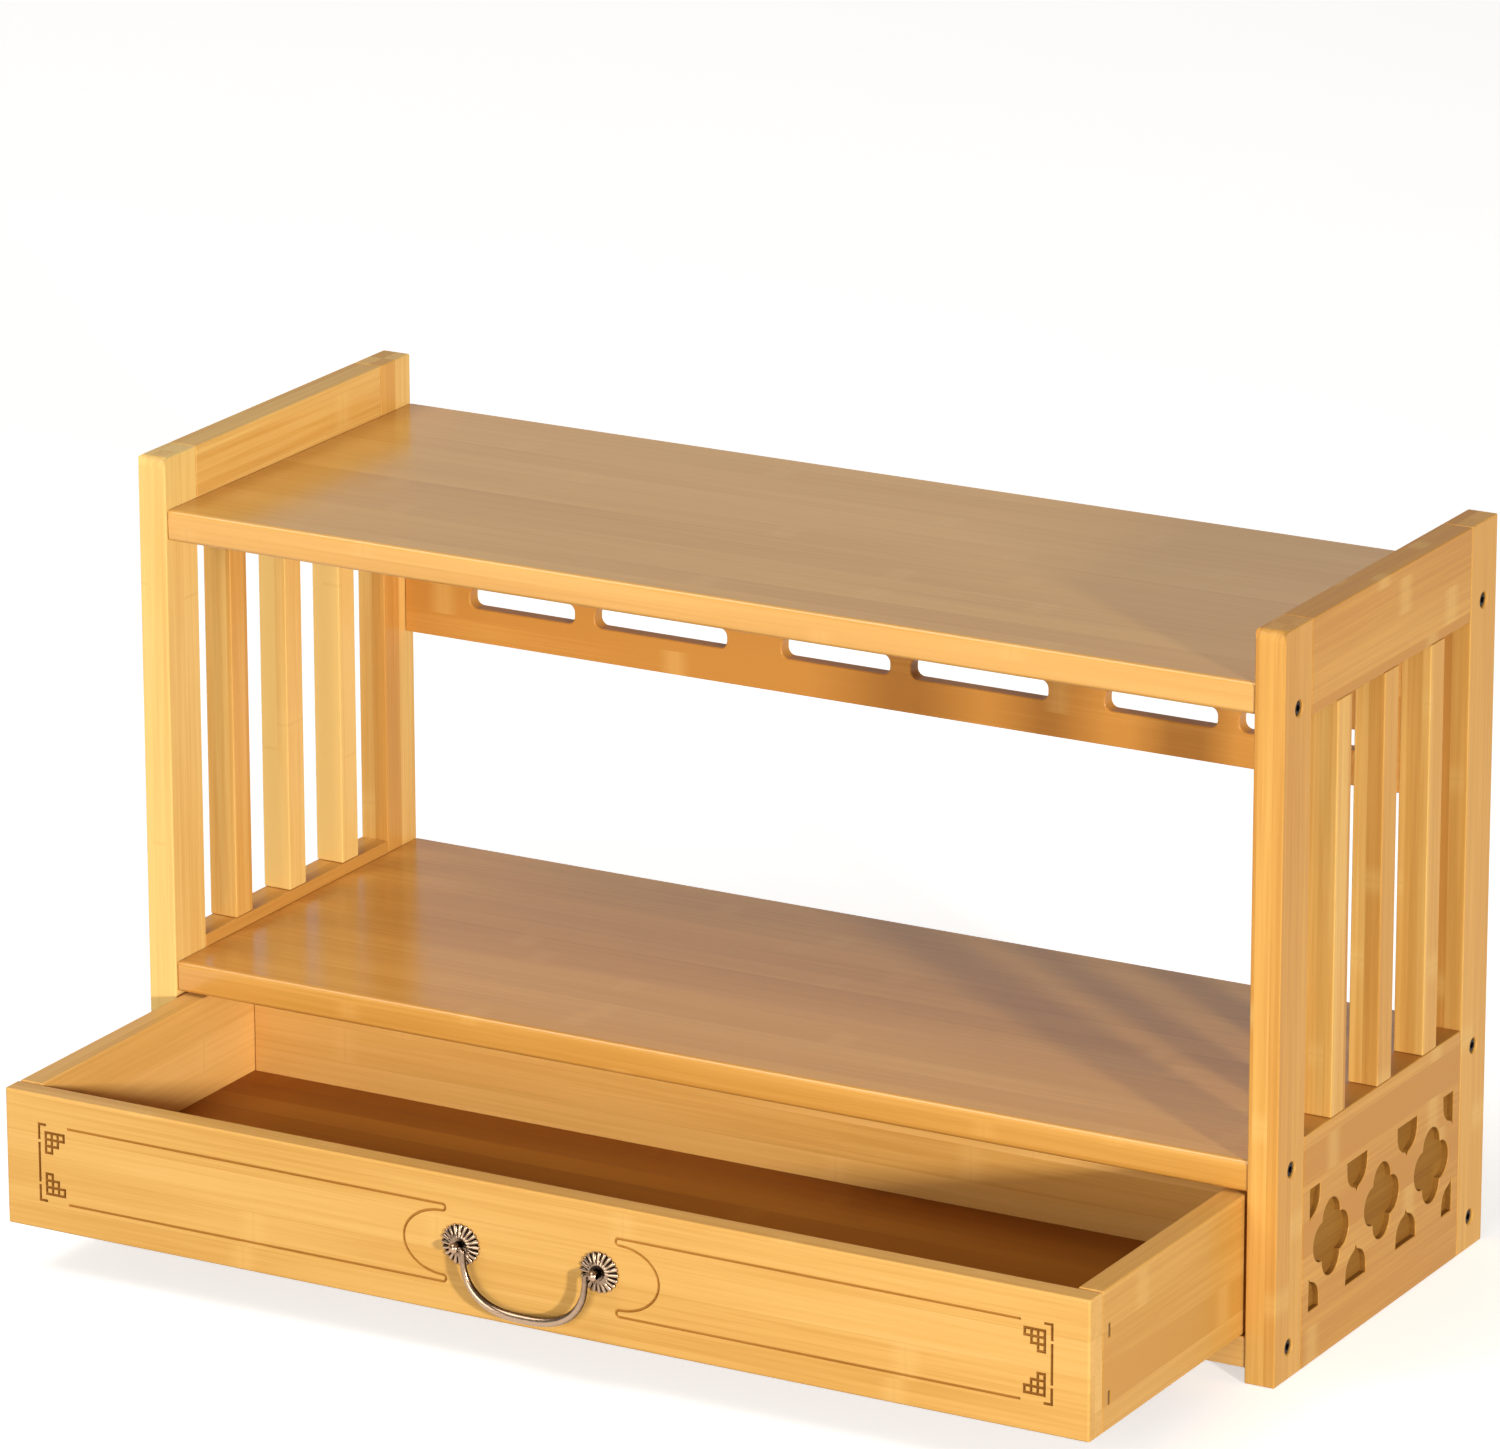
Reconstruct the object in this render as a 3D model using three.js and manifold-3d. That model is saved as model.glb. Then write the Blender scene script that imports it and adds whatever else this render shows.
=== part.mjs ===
// Bamboo altar cabinet for the home: two slatted end frames hold an upper and a lower shelf,
// a slotted back board and two bottom rails. Under the lower shelf slides a drawer, whose front
// is engraved and carries a bail handle. The drawer stands open, as it does at rest here.
// Millimetres, +Z up, front towards -Y. The origin is on the floor, in the middle of the outline.
import * as THREE from 'three';
import { mergeVertices } from 'three/addons/utils/BufferGeometryUtils.js';
import Module from 'manifold-3d';

const wasm = await Module();
wasm.setup();

// Overall sizes
const length = 600;
const depth = 220;
const height = 355;

// Gap that parts keep where they are glued or screwed together
const jointGap = 0.3;

// End frames
const frameThickness = 15;
const postDepth = 27;
const postTopRadius = 5;
const topRailHeight = 45;
const slatWidth = 14.5;
const slatCount = 3;

// Shelves
const shelfThickness = 15;
const shelfSetback = 1;
const shelfEdgeRadius = 2;
const upperShelfDrop = 25;
const lowerShelfUnderside = 91;
const panelLip = 6;

// Back board under the upper shelf, with groups of a short and a long slot
const backThickness = 8;
const backHeight = 99.5;
const shortSlotLength = 59.5;
const longSlotLength = 74;
const slotBridge = 11.3;
const slotGroupGap = 30.2;
const slotEndMargin = 30;
const slotHeight = 10;
const slotLift = 17.3;
const slotCornerRadius = 4;

// Bottom rails
const bottomRailLift = 7;
const bottomRailHeight = 15;
const bottomRailThickness = 15;

// Sunk screws in the end frames
const screwHeadRadius = 3.2;
const screwHeadHeight = 3;
const screwSink = 0.6;
const screwSocketRadius = 1.7;
const screwSocketDepth = 1.8;
const screwHoleClearance = 0.5;
const screwHoleChamfer = 0.5;
const screwSocketSides = 6;
const screwEdge = 0.4;
const upperScrewLift = 2;
const lowerScrewLift = 9.5;
const bottomScrewLift = 8.5;

// Carved recesses in the lower end panels
const carvingDepth = 3;
const carvingTopMargin = 27.5;
const carvingBottomMargin = 25.5;
const carvingEndMargin = 7;
const quatrefoilPitch = 53;
const lobeRadius = 9.2;
const lobeOffset = 9.3;
const cupWidth = 21.4;
const cupHeight = 16.8;

// Drawer
const drawerOpening = 150;
const drawerSideGap = 1.8;
const drawerTopGap = 1.5;
const drawerRunGap = 0.9;
const drawerRearGap = 12;
const drawerWall = 12.5;
const drawerFrontEdgeRadius = 1.5;
const drawerBottomThickness = 5;
const drawerBottomLift = 12;
const drawerGrooveDepth = 4;

// Staples that fix the drawer sides
const stapleCrown = 6;
const stapleWire = 1.8;
const stapleDepth = 4;
const stapleSink = 0.3;
const stapleSetback = 19;
const stapleTopInset = 20;
const stapleBottomInset = 15;

// Engraving on the drawer front
const engravingWidth = 1.3;
const engravingDepth = 0.8;
const engravingEndInset = 18.5;
const engravingEdgeInset = 14.6;
const bracketGap = 9.9;
const bracketReach = 20.5;
const hookRadius = 1.6;
const fretCell = 3.3;
const fretOffset = 3.6;
const fretSteps = 3;
const fretWidth = 1.1;
const cornerLineLength = 7;
const cornerLineGap = 2.6;
const cornerTickLength = 3.3;
const topLineInset = 10;

// Bail handle
const postSpacing = 72.6;
const handleRise = 1;
const rosetteRadius = 10;
const rosetteRise = 2.4;
const rosetteRim = 0.9;
const petalCount = 20;
const petalDepth = 0.7;
const knobRadius = 2.5;
const knobGap = 0.8;
const knobStemRadius = 1.4;
const knobStemDepth = 3;
const pinRadius = 1.1;
const pinClearance = 0.4;
const bailPlay = 0.5;
const bailDrop = 27.5;
const bailEndRadius = 1.3;
const bailMiddleRadius = 2.2;
const bailBend = 1.5;
const bailFullness = 0.8;

// Fineness of the round stretches
const cornerSegments = 3;
const lobeSegments = 5;
const roundSegments = 16;
const hookSteps = 6;
const bowSteps = 16;
const petalSegments = 2;
const ballSteps = 6;
const rodSides = 8;
const bendSteps = 3;
const bailSteps = 26;

// Places worked out from the sizes
const halfLength = length / 2;
const innerHalf = halfLength - frameThickness;
const spanHalf = innerHalf - jointGap;
const lowerShelfTop = lowerShelfUnderside + shelfThickness;
const upperShelfTop = height - upperShelfDrop;
const upperShelfUnderside = upperShelfTop - shelfThickness;
const panelTop = lowerShelfTop + panelLip;
const panelNear = postDepth + jointGap;
const topRailUnderside = height - topRailHeight;
const bottomRailTop = bottomRailLift + bottomRailHeight;
const drawerHalf = innerHalf - drawerSideGap;
const drawerBase = bottomRailTop + drawerRunGap;
const drawerTop = lowerShelfUnderside - drawerTopGap;
const drawerHeight = drawerTop - drawerBase;
const drawerFace = shelfSetback - drawerOpening;
const drawerRear = depth - drawerRearGap - drawerOpening;
const drawerMiddle = (drawerBase + drawerTop) / 2;
const engravingHalf = drawerHeight / 2 - engravingEdgeInset;
const handleHalf = postSpacing / 2;
const handleHeight = drawerMiddle + handleRise;
const knobStandOff = jointGap + rosetteRise + knobGap + knobRadius;
const handleFace = drawerFace - knobStandOff;

// Turns that lay a flat outline into the cabinet: across it, along it, or on its end
const endPlane = new THREE.Matrix4().makeBasis(
  new THREE.Vector3(0, 1, 0),
  new THREE.Vector3(0, 0, 1),
  new THREE.Vector3(1, 0, 0),
);
const frontPlane = new THREE.Matrix4().makeBasis(
  new THREE.Vector3(1, 0, 0),
  new THREE.Vector3(0, 0, 1),
  new THREE.Vector3(0, -1, 0),
);

// Materials
function bamboo(color) {
  return new THREE.MeshStandardMaterial({ color, roughness: 0.34, metalness: 0 });
}
const frameBamboo = bamboo(0xe6b26b);
const shelfBamboo = bamboo(0xdca763);
const drawerBamboo = bamboo(0xebb56a);
const drawerInsideBamboo = bamboo(0xd49c57);
const antiqueBronze = new THREE.MeshStandardMaterial({ color: 0x8d6a55, roughness: 0.32, metalness: 1 });
const darkSteel = new THREE.MeshStandardMaterial({ color: 0x2b2422, roughness: 0.45, metalness: 0.9 });

// A geometry as a solid for joining and cutting
function toSolid(geometry) {
  const bare = geometry.clone();
  bare.deleteAttribute('normal');
  bare.deleteAttribute('uv');
  const merged = mergeVertices(bare, 1e-4);
  return new wasm.Manifold(new wasm.Mesh({
    numProp: 3,
    vertProperties: new Float32Array(merged.attributes.position.array),
    triVerts: new Uint32Array(merged.index.array),
  }));
}

// A solid as a geometry for a mesh
function toGeometry(solid) {
  const mesh = solid.getMesh();
  const geometry = new THREE.BufferGeometry();
  geometry.setAttribute('position', new THREE.BufferAttribute(mesh.vertProperties, 3));
  geometry.setIndex(new THREE.BufferAttribute(mesh.triVerts, 1));
  geometry.computeVertexNormals();
  return geometry;
}

// One geometry with others cut out of it
function cut(geometry, cutters) {
  const solid = cutters.reduce((rest, cutter) => rest.subtract(toSolid(cutter)), toSolid(geometry));
  return toGeometry(solid);
}

// Several overlapping geometries as one
function join(geometries) {
  const [first, ...others] = geometries.map(toSolid);
  return toGeometry(others.reduce((whole, other) => whole.add(other), first));
}

// A block between two corners
function block(low, high) {
  const size = high.map((value, axis) => value - low[axis]);
  const centre = high.map((value, axis) => (value + low[axis]) / 2);
  return new THREE.BoxGeometry(...size).translate(...centre);
}

// A straight rod along Y
function rod(radius, rodLength, sides) {
  return new THREE.CylinderGeometry(radius, radius, rodLength, sides);
}

// A rectangle outline whose corners have their own radii, from the lower left one anticlockwise
function roundedOutline(left, low, right, high, radii) {
  const [lowLeft, lowRight, highRight, highLeft] = radii;
  const outline = new THREE.Shape();
  outline.moveTo(left + lowLeft, low);
  outline.lineTo(right - lowRight, low);
  addCorner(outline, right - lowRight, low + lowRight, lowRight, -Math.PI / 2);
  outline.lineTo(right, high - highRight);
  addCorner(outline, right - highRight, high - highRight, highRight, 0);
  outline.lineTo(left + highLeft, high);
  addCorner(outline, left + highLeft, high - highLeft, highLeft, Math.PI / 2);
  outline.lineTo(left, low + lowLeft);
  addCorner(outline, left + lowLeft, low + lowLeft, lowLeft, Math.PI);
  return outline;
}

// The same radius for all four corners of an outline
function evenRadii(radius) {
  return [radius, radius, radius, radius];
}

// A quarter round at one corner of an outline, if it has a radius
function addCorner(outline, x, y, radius, start) {
  if (radius > 0) outline.absarc(x, y, radius, start, start + Math.PI / 2, false);
}

// An outline across the cabinet (Y, Z) made into a bar along X
function barAlongX(outline, from, to, segments = cornerSegments) {
  const options = { depth: to - from, bevelEnabled: false, curveSegments: segments };
  return new THREE.ExtrudeGeometry(outline, options).translate(0, 0, from).applyMatrix4(endPlane);
}

// An outline seen from the front (X, Z) made into a plate from its rear face towards the front
function plateFacingFront(outline, rear, thickness, segments = cornerSegments) {
  const options = { depth: thickness, bevelEnabled: false, curveSegments: segments };
  return new THREE.ExtrudeGeometry(outline, options).translate(0, 0, -rear).applyMatrix4(frontPlane);
}

// A strip of even width along a line of points
function ribbon(points, width) {
  const half = width / 2;
  const sides = points.map((point, index) => {
    const before = points[Math.max(index - 1, 0)];
    const after = points[Math.min(index + 1, points.length - 1)];
    const into = point.clone().sub(before).normalize();
    const out = after.clone().sub(point).normalize();
    const along = into.clone().add(out).normalize();
    const across = new THREE.Vector2(-along.y, along.x);
    const straight = into.lengthSq() > 0 ? into : out;
    const stretch = half / Math.abs(across.dot(new THREE.Vector2(-straight.y, straight.x)));
    return [stretch, -stretch].map((offset) => point.clone().addScaledVector(across, offset));
  });
  return new THREE.Shape([...sides.map((side) => side[1]), ...sides.map((side) => side[0]).reverse()]);
}

// A named mesh
function part(name, geometry, material) {
  const mesh = new THREE.Mesh(geometry, material);
  mesh.name = name;
  return mesh;
}

// Screw places on an end frame, seen from the side (Y, Z)
function screwPlaces() {
  const front = postDepth / 2 + shelfSetback;
  const rear = depth - postDepth / 2;
  const levels = {
    top: upperShelfUnderside + upperScrewLift,
    middle: lowerShelfUnderside + lowerScrewLift,
    bottom: bottomRailLift + bottomScrewLift,
  };
  return Object.entries(levels).flatMap(([level, z]) => [
    { name: `front_${level}`, y: front, z },
    { name: `rear_${level}`, y: rear, z },
  ]);
}

// A turned profile (radius, distance inwards from the outer face) on the outer face of an end
function turnedOnEnd(profile, side, y, z) {
  const points = profile.map(([radius, inward]) => new THREE.Vector2(radius, inward));
  const turned = new THREE.LatheGeometry(points, roundSegments);
  turned.rotateZ(side > 0 ? Math.PI / 2 : -Math.PI / 2);
  return turned.translate(side * halfLength, y, z);
}

// The chamfered hole that takes a screw head
function screwHole(side, { y, z }) {
  const radius = screwHeadRadius + screwHoleClearance;
  const floor = screwSink + screwHeadHeight + jointGap;
  const outside = -1;
  const mouth = radius + screwHoleChamfer;
  const profile = [
    [0, outside],
    [mouth, outside],
    [mouth, 0],
    [radius, screwHoleChamfer],
    [radius, floor],
    [0, floor],
  ];
  return turnedOnEnd(profile, side, y, z);
}

// A screw head with a six-sided socket
function screw(side, place) {
  const foot = screwSink + screwHeadHeight;
  const profile = [
    [0, screwSink],
    [screwHeadRadius - screwEdge, screwSink],
    [screwHeadRadius, screwSink + screwEdge],
    [screwHeadRadius, foot],
    [0, foot],
  ];
  const head = turnedOnEnd(profile, side, place.y, place.z);
  const socket = rod(screwSocketRadius, 2 * screwSocketDepth, screwSocketSides).rotateZ(Math.PI / 2);
  return cut(head, [socket.translate(side * (halfLength - screwSink), place.y, place.z)]);
}

// A post over the whole height, rounded at its top edge where it faces the front
function post(side, isFront) {
  const near = isFront ? 0 : depth - postDepth;
  const radii = [0, 0, 0, isFront ? postTopRadius : 0];
  const outline = roundedOutline(near, 0, near + postDepth, height, radii);
  const [from, to] = acrossFrame(side);
  const holes = screwPlaces().filter((place) => place.name.startsWith(isFront ? 'front' : 'rear'));
  return cut(barAlongX(outline, from, to), holes.map((place) => screwHole(side, place)));
}

// Where an end frame begins and ends along X
function acrossFrame(side) {
  return side > 0 ? [innerHalf, halfLength] : [-halfLength, -innerHalf];
}

// A quatrefoil outline of four round lobes
function quatrefoil(y, z) {
  const notch = (lobeOffset + Math.sqrt(2 * lobeRadius ** 2 - lobeOffset ** 2)) / 2;
  const reach = Math.atan2(notch, notch - lobeOffset);
  const outline = new THREE.Shape();
  for (let lobe = 0; lobe < 4; lobe += 1) {
    const turn = lobe * Math.PI / 2;
    const lobeY = y + lobeOffset * Math.cos(turn);
    const lobeZ = z + lobeOffset * Math.sin(turn);
    outline.absarc(lobeY, lobeZ, lobeRadius, turn - reach, turn + reach, false);
  }
  return outline;
}

// A cup outline that hangs from the field's edge and ends in a small point; a side is left out
// where the field's end cuts the cup in half. Its bends are shares of half its width and its height.
function cup(y, z, direction, hasLeft, hasRight) {
  const at = (across, down) => [y + across * cupWidth / 2, z + direction * down * cupHeight];
  const [wall, belly, bowl] = [[0.97, 0.33], [0.9, 0.68], [0.45, 0.78]];
  const [neck, tip] = [[0.16, 0.83], [0.06, 0.86]];
  const left = ([across, down]) => at(-across, down);
  const right = ([across, down]) => at(across, down);
  const outline = new THREE.Shape();
  outline.moveTo(...at(hasLeft ? -1 : 0, 0));
  outline.lineTo(...at(hasRight ? 1 : 0, 0));
  if (hasRight) {
    outline.lineTo(...right(wall));
    outline.bezierCurveTo(...right(belly), ...right(bowl), ...right(neck));
    outline.quadraticCurveTo(...right(tip), ...at(0, 1));
  } else {
    outline.lineTo(...at(0, 1));
  }
  if (hasLeft) {
    outline.quadraticCurveTo(...left(tip), ...left(neck));
    outline.bezierCurveTo(...left(bowl), ...left(belly), ...left(wall));
  }
  return outline;
}

// The carved field of a lower end panel: quatrefoils in a row, cups between them
function carving() {
  const start = postDepth + carvingEndMargin;
  const end = depth - start;
  const low = carvingBottomMargin;
  const high = panelTop - carvingTopMargin;
  const reach = lobeOffset + lobeRadius;
  const count = Math.floor((end - start - 2 * reach) / quatrefoilPitch) + 1;
  const first = (start + end - (count - 1) * quatrefoilPitch) / 2;
  const outlines = [];
  for (let index = 0; index < count; index += 1) {
    outlines.push(quatrefoil(first + index * quatrefoilPitch, (low + high) / 2));
  }
  for (let index = 0; index <= count; index += 1) {
    const between = first + (index - 0.5) * quatrefoilPitch;
    const y = Math.min(Math.max(between, start), end);
    outlines.push(cup(y, low, 1, index > 0, index < count));
    outlines.push(cup(y, high, -1, index > 0, index < count));
  }
  return outlines;
}

// A lower end panel with its carving cut into the outer face
function lowerPanel(side) {
  const [from, to] = acrossFrame(side);
  const panel = block([from, panelNear, 0], [to, depth - panelNear, panelTop]);
  const outside = 1;
  const [cutFrom, cutTo] = side > 0
    ? [halfLength - carvingDepth, halfLength + outside]
    : [-halfLength - outside, -halfLength + carvingDepth];
  return cut(panel, carving().map((outline) => barAlongX(outline, cutFrom, cutTo, lobeSegments)));
}

// The rail at the top of an end frame, between its posts
function topRail(side) {
  const [from, to] = acrossFrame(side);
  return block([from, panelNear, topRailUnderside], [to, depth - panelNear, height]);
}

// One upright slat of an end frame, evenly placed between the posts
function slat(side, index) {
  const [from, to] = acrossFrame(side);
  const pitch = (depth - postDepth) / (slatCount + 1);
  const middle = postDepth / 2 + pitch * (index + 1);
  const low = panelTop + jointGap;
  const high = topRailUnderside - jointGap;
  return block([from, middle - slatWidth / 2, low], [to, middle + slatWidth / 2, high]);
}

// A whole end frame with its screws
function endFrame(side) {
  const name = side > 0 ? 'right' : 'left';
  const frame = new THREE.Group();
  frame.add(part(`${name}_front_post`, post(side, true), frameBamboo));
  frame.add(part(`${name}_rear_post`, post(side, false), frameBamboo));
  frame.add(part(`${name}_top_rail`, topRail(side), frameBamboo));
  frame.add(part(`${name}_lower_panel`, lowerPanel(side), frameBamboo));
  for (let index = 0; index < slatCount; index += 1) {
    frame.add(part(`${name}_slat_${index + 1}`, slat(side, index), frameBamboo));
  }
  for (const place of screwPlaces()) {
    frame.add(part(`${name}_${place.name}_screw`, screw(side, place), darkSteel));
  }
  return frame;
}

// A shelf between the end frames, with rounded front edges
function shelf(underside) {
  const radii = [shelfEdgeRadius, 0, 0, shelfEdgeRadius];
  const outline = roundedOutline(shelfSetback, underside, depth, underside + shelfThickness, radii);
  return barAlongX(outline, -spanHalf, spanHalf);
}

// The back board, hung under the upper shelf at the rear
function backBoard() {
  const high = upperShelfUnderside - jointGap;
  const low = upperShelfUnderside - backHeight;
  const outline = roundedOutline(-spanHalf, low, spanHalf, high, evenRadii(0));
  const group = shortSlotLength + slotBridge + longSlotLength;
  const pitch = group + slotGroupGap;
  const count = Math.floor((2 * (spanHalf - slotEndMargin) + slotGroupGap) / pitch);
  const slotLow = low + slotLift;
  const slotHigh = slotLow + slotHeight;
  const addSlot = (left, right) => {
    outline.holes.push(roundedOutline(left, slotLow, right, slotHigh, evenRadii(slotCornerRadius)));
  };
  for (let index = 0; index < count; index += 1) {
    const start = (index - (count - 1) / 2) * pitch - group / 2;
    addSlot(start, start + shortSlotLength);
    addSlot(start + group - longSlotLength, start + group);
  }
  return plateFacingFront(outline, depth, backThickness);
}

// A bottom rail between the end frames
function bottomRail(near) {
  const low = [-spanHalf, near, bottomRailLift];
  return block(low, [spanHalf, near + bottomRailThickness, bottomRailTop]);
}

// The loose panel that closes the drawer below, or with play round it the groove that it sits in
function drawerBottom(play = 0) {
  const inset = drawerWall - drawerGrooveDepth + jointGap - play;
  const low = drawerBase + drawerBottomLift;
  return block(
    [inset - drawerHalf, drawerFace + inset, low - play],
    [drawerHalf - inset, drawerRear - inset, low + drawerBottomThickness + play],
  );
}

// Staple places on a drawer side
function stapleLevels() {
  return [drawerTop - stapleTopInset, drawerBase + stapleBottomInset];
}

// A staple crown, or with play round it the slot that it sits in
function staple(side, level, play = 0) {
  const outer = play > 0 ? drawerHalf + 1 : drawerHalf - stapleSink;
  const inner = drawerHalf - stapleDepth - play;
  const y = drawerFace + stapleSetback;
  const halfWire = stapleWire / 2 + play;
  const halfCrown = stapleCrown / 2 + play;
  const [from, to] = side > 0 ? [inner, outer] : [-outer, -inner];
  return block([from, y - halfWire, level - halfCrown], [to, y + halfWire, level + halfCrown]);
}

// A drawer side, between the drawer's front and its rear end
function drawerSide(side) {
  const inner = drawerHalf - drawerWall;
  const [from, to] = side > 0 ? [inner, drawerHalf] : [-drawerHalf, -inner];
  const board = block([from, drawerFace + drawerWall + jointGap, drawerBase], [to, drawerRear, drawerTop]);
  const slots = stapleLevels().map((level) => staple(side, level, jointGap));
  return cut(board, [drawerBottom(jointGap), ...slots]);
}

// The drawer's back, between its sides
function drawerBack() {
  const half = drawerHalf - drawerWall - jointGap;
  const board = block([-half, drawerRear - drawerWall, drawerBase], [half, drawerRear, drawerTop]);
  return cut(board, [drawerBottom(jointGap)]);
}

// The long line of one engraved field: along the top, round the bracket and back along the bottom
function fieldLine() {
  const start = handleHalf + bracketGap;
  const end = drawerHalf - engravingEndInset - topLineInset;
  const bow = engravingHalf - 2 * hookRadius;
  const points = [new THREE.Vector2(end, engravingHalf)];
  const addArc = (z, reachX, reachZ, from, turned, steps) => {
    for (let step = 0; step <= steps; step += 1) {
      const turn = from + turned * step / steps;
      points.push(new THREE.Vector2(start + reachX * Math.cos(turn), z + reachZ * Math.sin(turn)));
    }
  };
  addArc(engravingHalf - hookRadius, hookRadius, hookRadius, Math.PI / 2, Math.PI, hookSteps);
  points.pop();
  addArc(0, bracketReach, bow, Math.PI / 2, -Math.PI, bowSteps);
  points.pop();
  addArc(hookRadius - engravingHalf, hookRadius, hookRadius, Math.PI / 2, Math.PI, hookSteps);
  points.push(new THREE.Vector2(end, -engravingHalf));
  return points;
}

// The straight lines of one engraved corner: a broken outer corner and a stepped fret inside it,
// as [start, end, width], measured from the corner towards the handle and the middle
function cornerLines() {
  const lines = [
    [[0, 0], [0, cornerLineLength], engravingWidth],
    [[0, 0], [cornerTickLength, 0], engravingWidth],
  ];
  for (let step = 0; step <= fretSteps; step += 1) {
    const place = fretOffset + step * fretCell;
    const reach = fretOffset + fretCell * Math.min(fretSteps, fretSteps + 1 - step);
    lines.push([[place, fretOffset], [place, reach], fretWidth]);
    lines.push([[fretOffset, place], [reach, place], fretWidth]);
  }
  return lines;
}

// A straight engraved line as a cutter, square at its ends
function straightCutter([startX, startZ], [endX, endZ], width) {
  const half = width / 2;
  const [left, right] = [Math.min(startX, endX) - half, Math.max(startX, endX) + half];
  const [low, high] = [Math.min(startZ, endZ) - half, Math.max(startZ, endZ) + half];
  const outside = 1;
  return block(
    [left, drawerFace - outside, drawerMiddle + low],
    [right, drawerFace + engravingDepth, drawerMiddle + high],
  );
}

// All engraved lines of the drawer front, as one cutter
function engraving() {
  const outside = 1;
  const corner = drawerHalf - engravingEndInset;
  const breakEnd = engravingHalf - cornerLineLength - cornerLineGap;
  const cutters = [];
  for (const side of [-1, 1]) {
    const line = fieldLine().map((point) => new THREE.Vector2(side * point.x, drawerMiddle + point.y));
    const strip = ribbon(line, engravingWidth);
    cutters.push(plateFacingFront(strip, drawerFace + engravingDepth, engravingDepth + outside));
    cutters.push(straightCutter([side * corner, -breakEnd], [side * corner, breakEnd], engravingWidth));
    for (const up of [-1, 1]) {
      const place = ([inward, down]) => [side * (corner - inward), up * (engravingHalf - down)];
      for (const [start, end, width] of cornerLines()) {
        cutters.push(straightCutter(place(start), place(end), width));
      }
    }
  }
  return join(cutters);
}

// The drawer's front board with its engraving, the groove for the bottom and two holes for the handle
function drawerFront() {
  const radius = drawerFrontEdgeRadius;
  const radii = [radius, 0, 0, radius];
  const outline = roundedOutline(drawerFace, drawerBase, drawerFace + drawerWall, drawerTop, radii);
  const board = barAlongX(outline, -drawerHalf, drawerHalf);
  const holeLength = 2 * (knobStemDepth + jointGap);
  const hole = rod(knobStemRadius + jointGap, holeLength, roundSegments);
  const holes = [-1, 1].map((side) => hole.clone().translate(side * handleHalf, drawerFace, handleHeight));
  return cut(board, [engraving(), drawerBottom(jointGap), ...holes]);
}

// The drawer's boards and staples
function drawer() {
  const box = new THREE.Group();
  box.add(part('drawer_front', drawerFront(), drawerBamboo));
  box.add(part('drawer_back', drawerBack(), drawerInsideBamboo));
  box.add(part('drawer_bottom', drawerBottom(), drawerInsideBamboo));
  for (const side of [-1, 1]) {
    const name = side > 0 ? 'right' : 'left';
    box.add(part(`drawer_${name}_side`, drawerSide(side), drawerBamboo));
    stapleLevels().forEach((level, index) => {
      box.add(part(`drawer_${name}_staple_${index + 1}`, staple(side, level), darkSteel));
    });
  }
  return box;
}

// A domed rosette round the foot of a knob. Its flutes deepen from the crown out to the rim.
function rosette() {
  const hole = knobStemRadius + jointGap;
  const [footShare, shoulderShare, crownShare] = [0.96, 0.84, 0.5];
  const shoulderRise = THREE.MathUtils.lerp(rosetteRim, rosetteRise, 0.55);
  const crownRise = 0.95 * rosetteRise;
  const profile = [
    [hole, 0],
    [rosetteRadius * footShare, 0],
    [rosetteRadius, rosetteRim],
    [rosetteRadius * shoulderShare, shoulderRise],
    [rosetteRadius * crownShare, crownRise],
    [hole, rosetteRise],
    [hole, 0],
  ];
  const points = profile.map(([radius, rise]) => new THREE.Vector2(radius, rise));
  const disc = new THREE.LatheGeometry(points, petalCount * petalSegments);
  const place = disc.attributes.position;
  for (let index = 0; index < place.count; index += 1) {
    const [x, rise, z] = [place.getX(index), place.getY(index), place.getZ(index)];
    const radius = Math.hypot(x, z);
    const share = Math.max(0, radius / rosetteRadius - crownShare) / (1 - crownShare);
    const flute = petalDepth * share * (1 - Math.cos(petalCount * Math.atan2(z, x))) / 2;
    const scale = 1 - flute / radius;
    place.setXYZ(index, x * scale, rise - Math.min(flute, rise / 2), z * scale);
  }
  return disc;
}

// A round knob on a stem that reaches back into the drawer front, bored across for the bail's pin
function knob() {
  const stemEnd = -knobStandOff - knobStemDepth;
  const neck = Math.PI - Math.asin(knobStemRadius / knobRadius);
  const profile = [[0, stemEnd], [knobStemRadius, stemEnd]];
  for (let step = 0; step < ballSteps; step += 1) {
    const turn = neck * (1 - step / ballSteps);
    profile.push([knobRadius * Math.sin(turn), knobRadius * Math.cos(turn)]);
  }
  profile.push([0, knobRadius]);
  const points = profile.map(([radius, out]) => new THREE.Vector2(radius, out));
  const ball = new THREE.LatheGeometry(points, roundSegments);
  const bore = rod(pinRadius + pinClearance, 4 * knobRadius, roundSegments);
  return cut(ball, [bore.rotateZ(Math.PI / 2)]);
}

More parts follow.
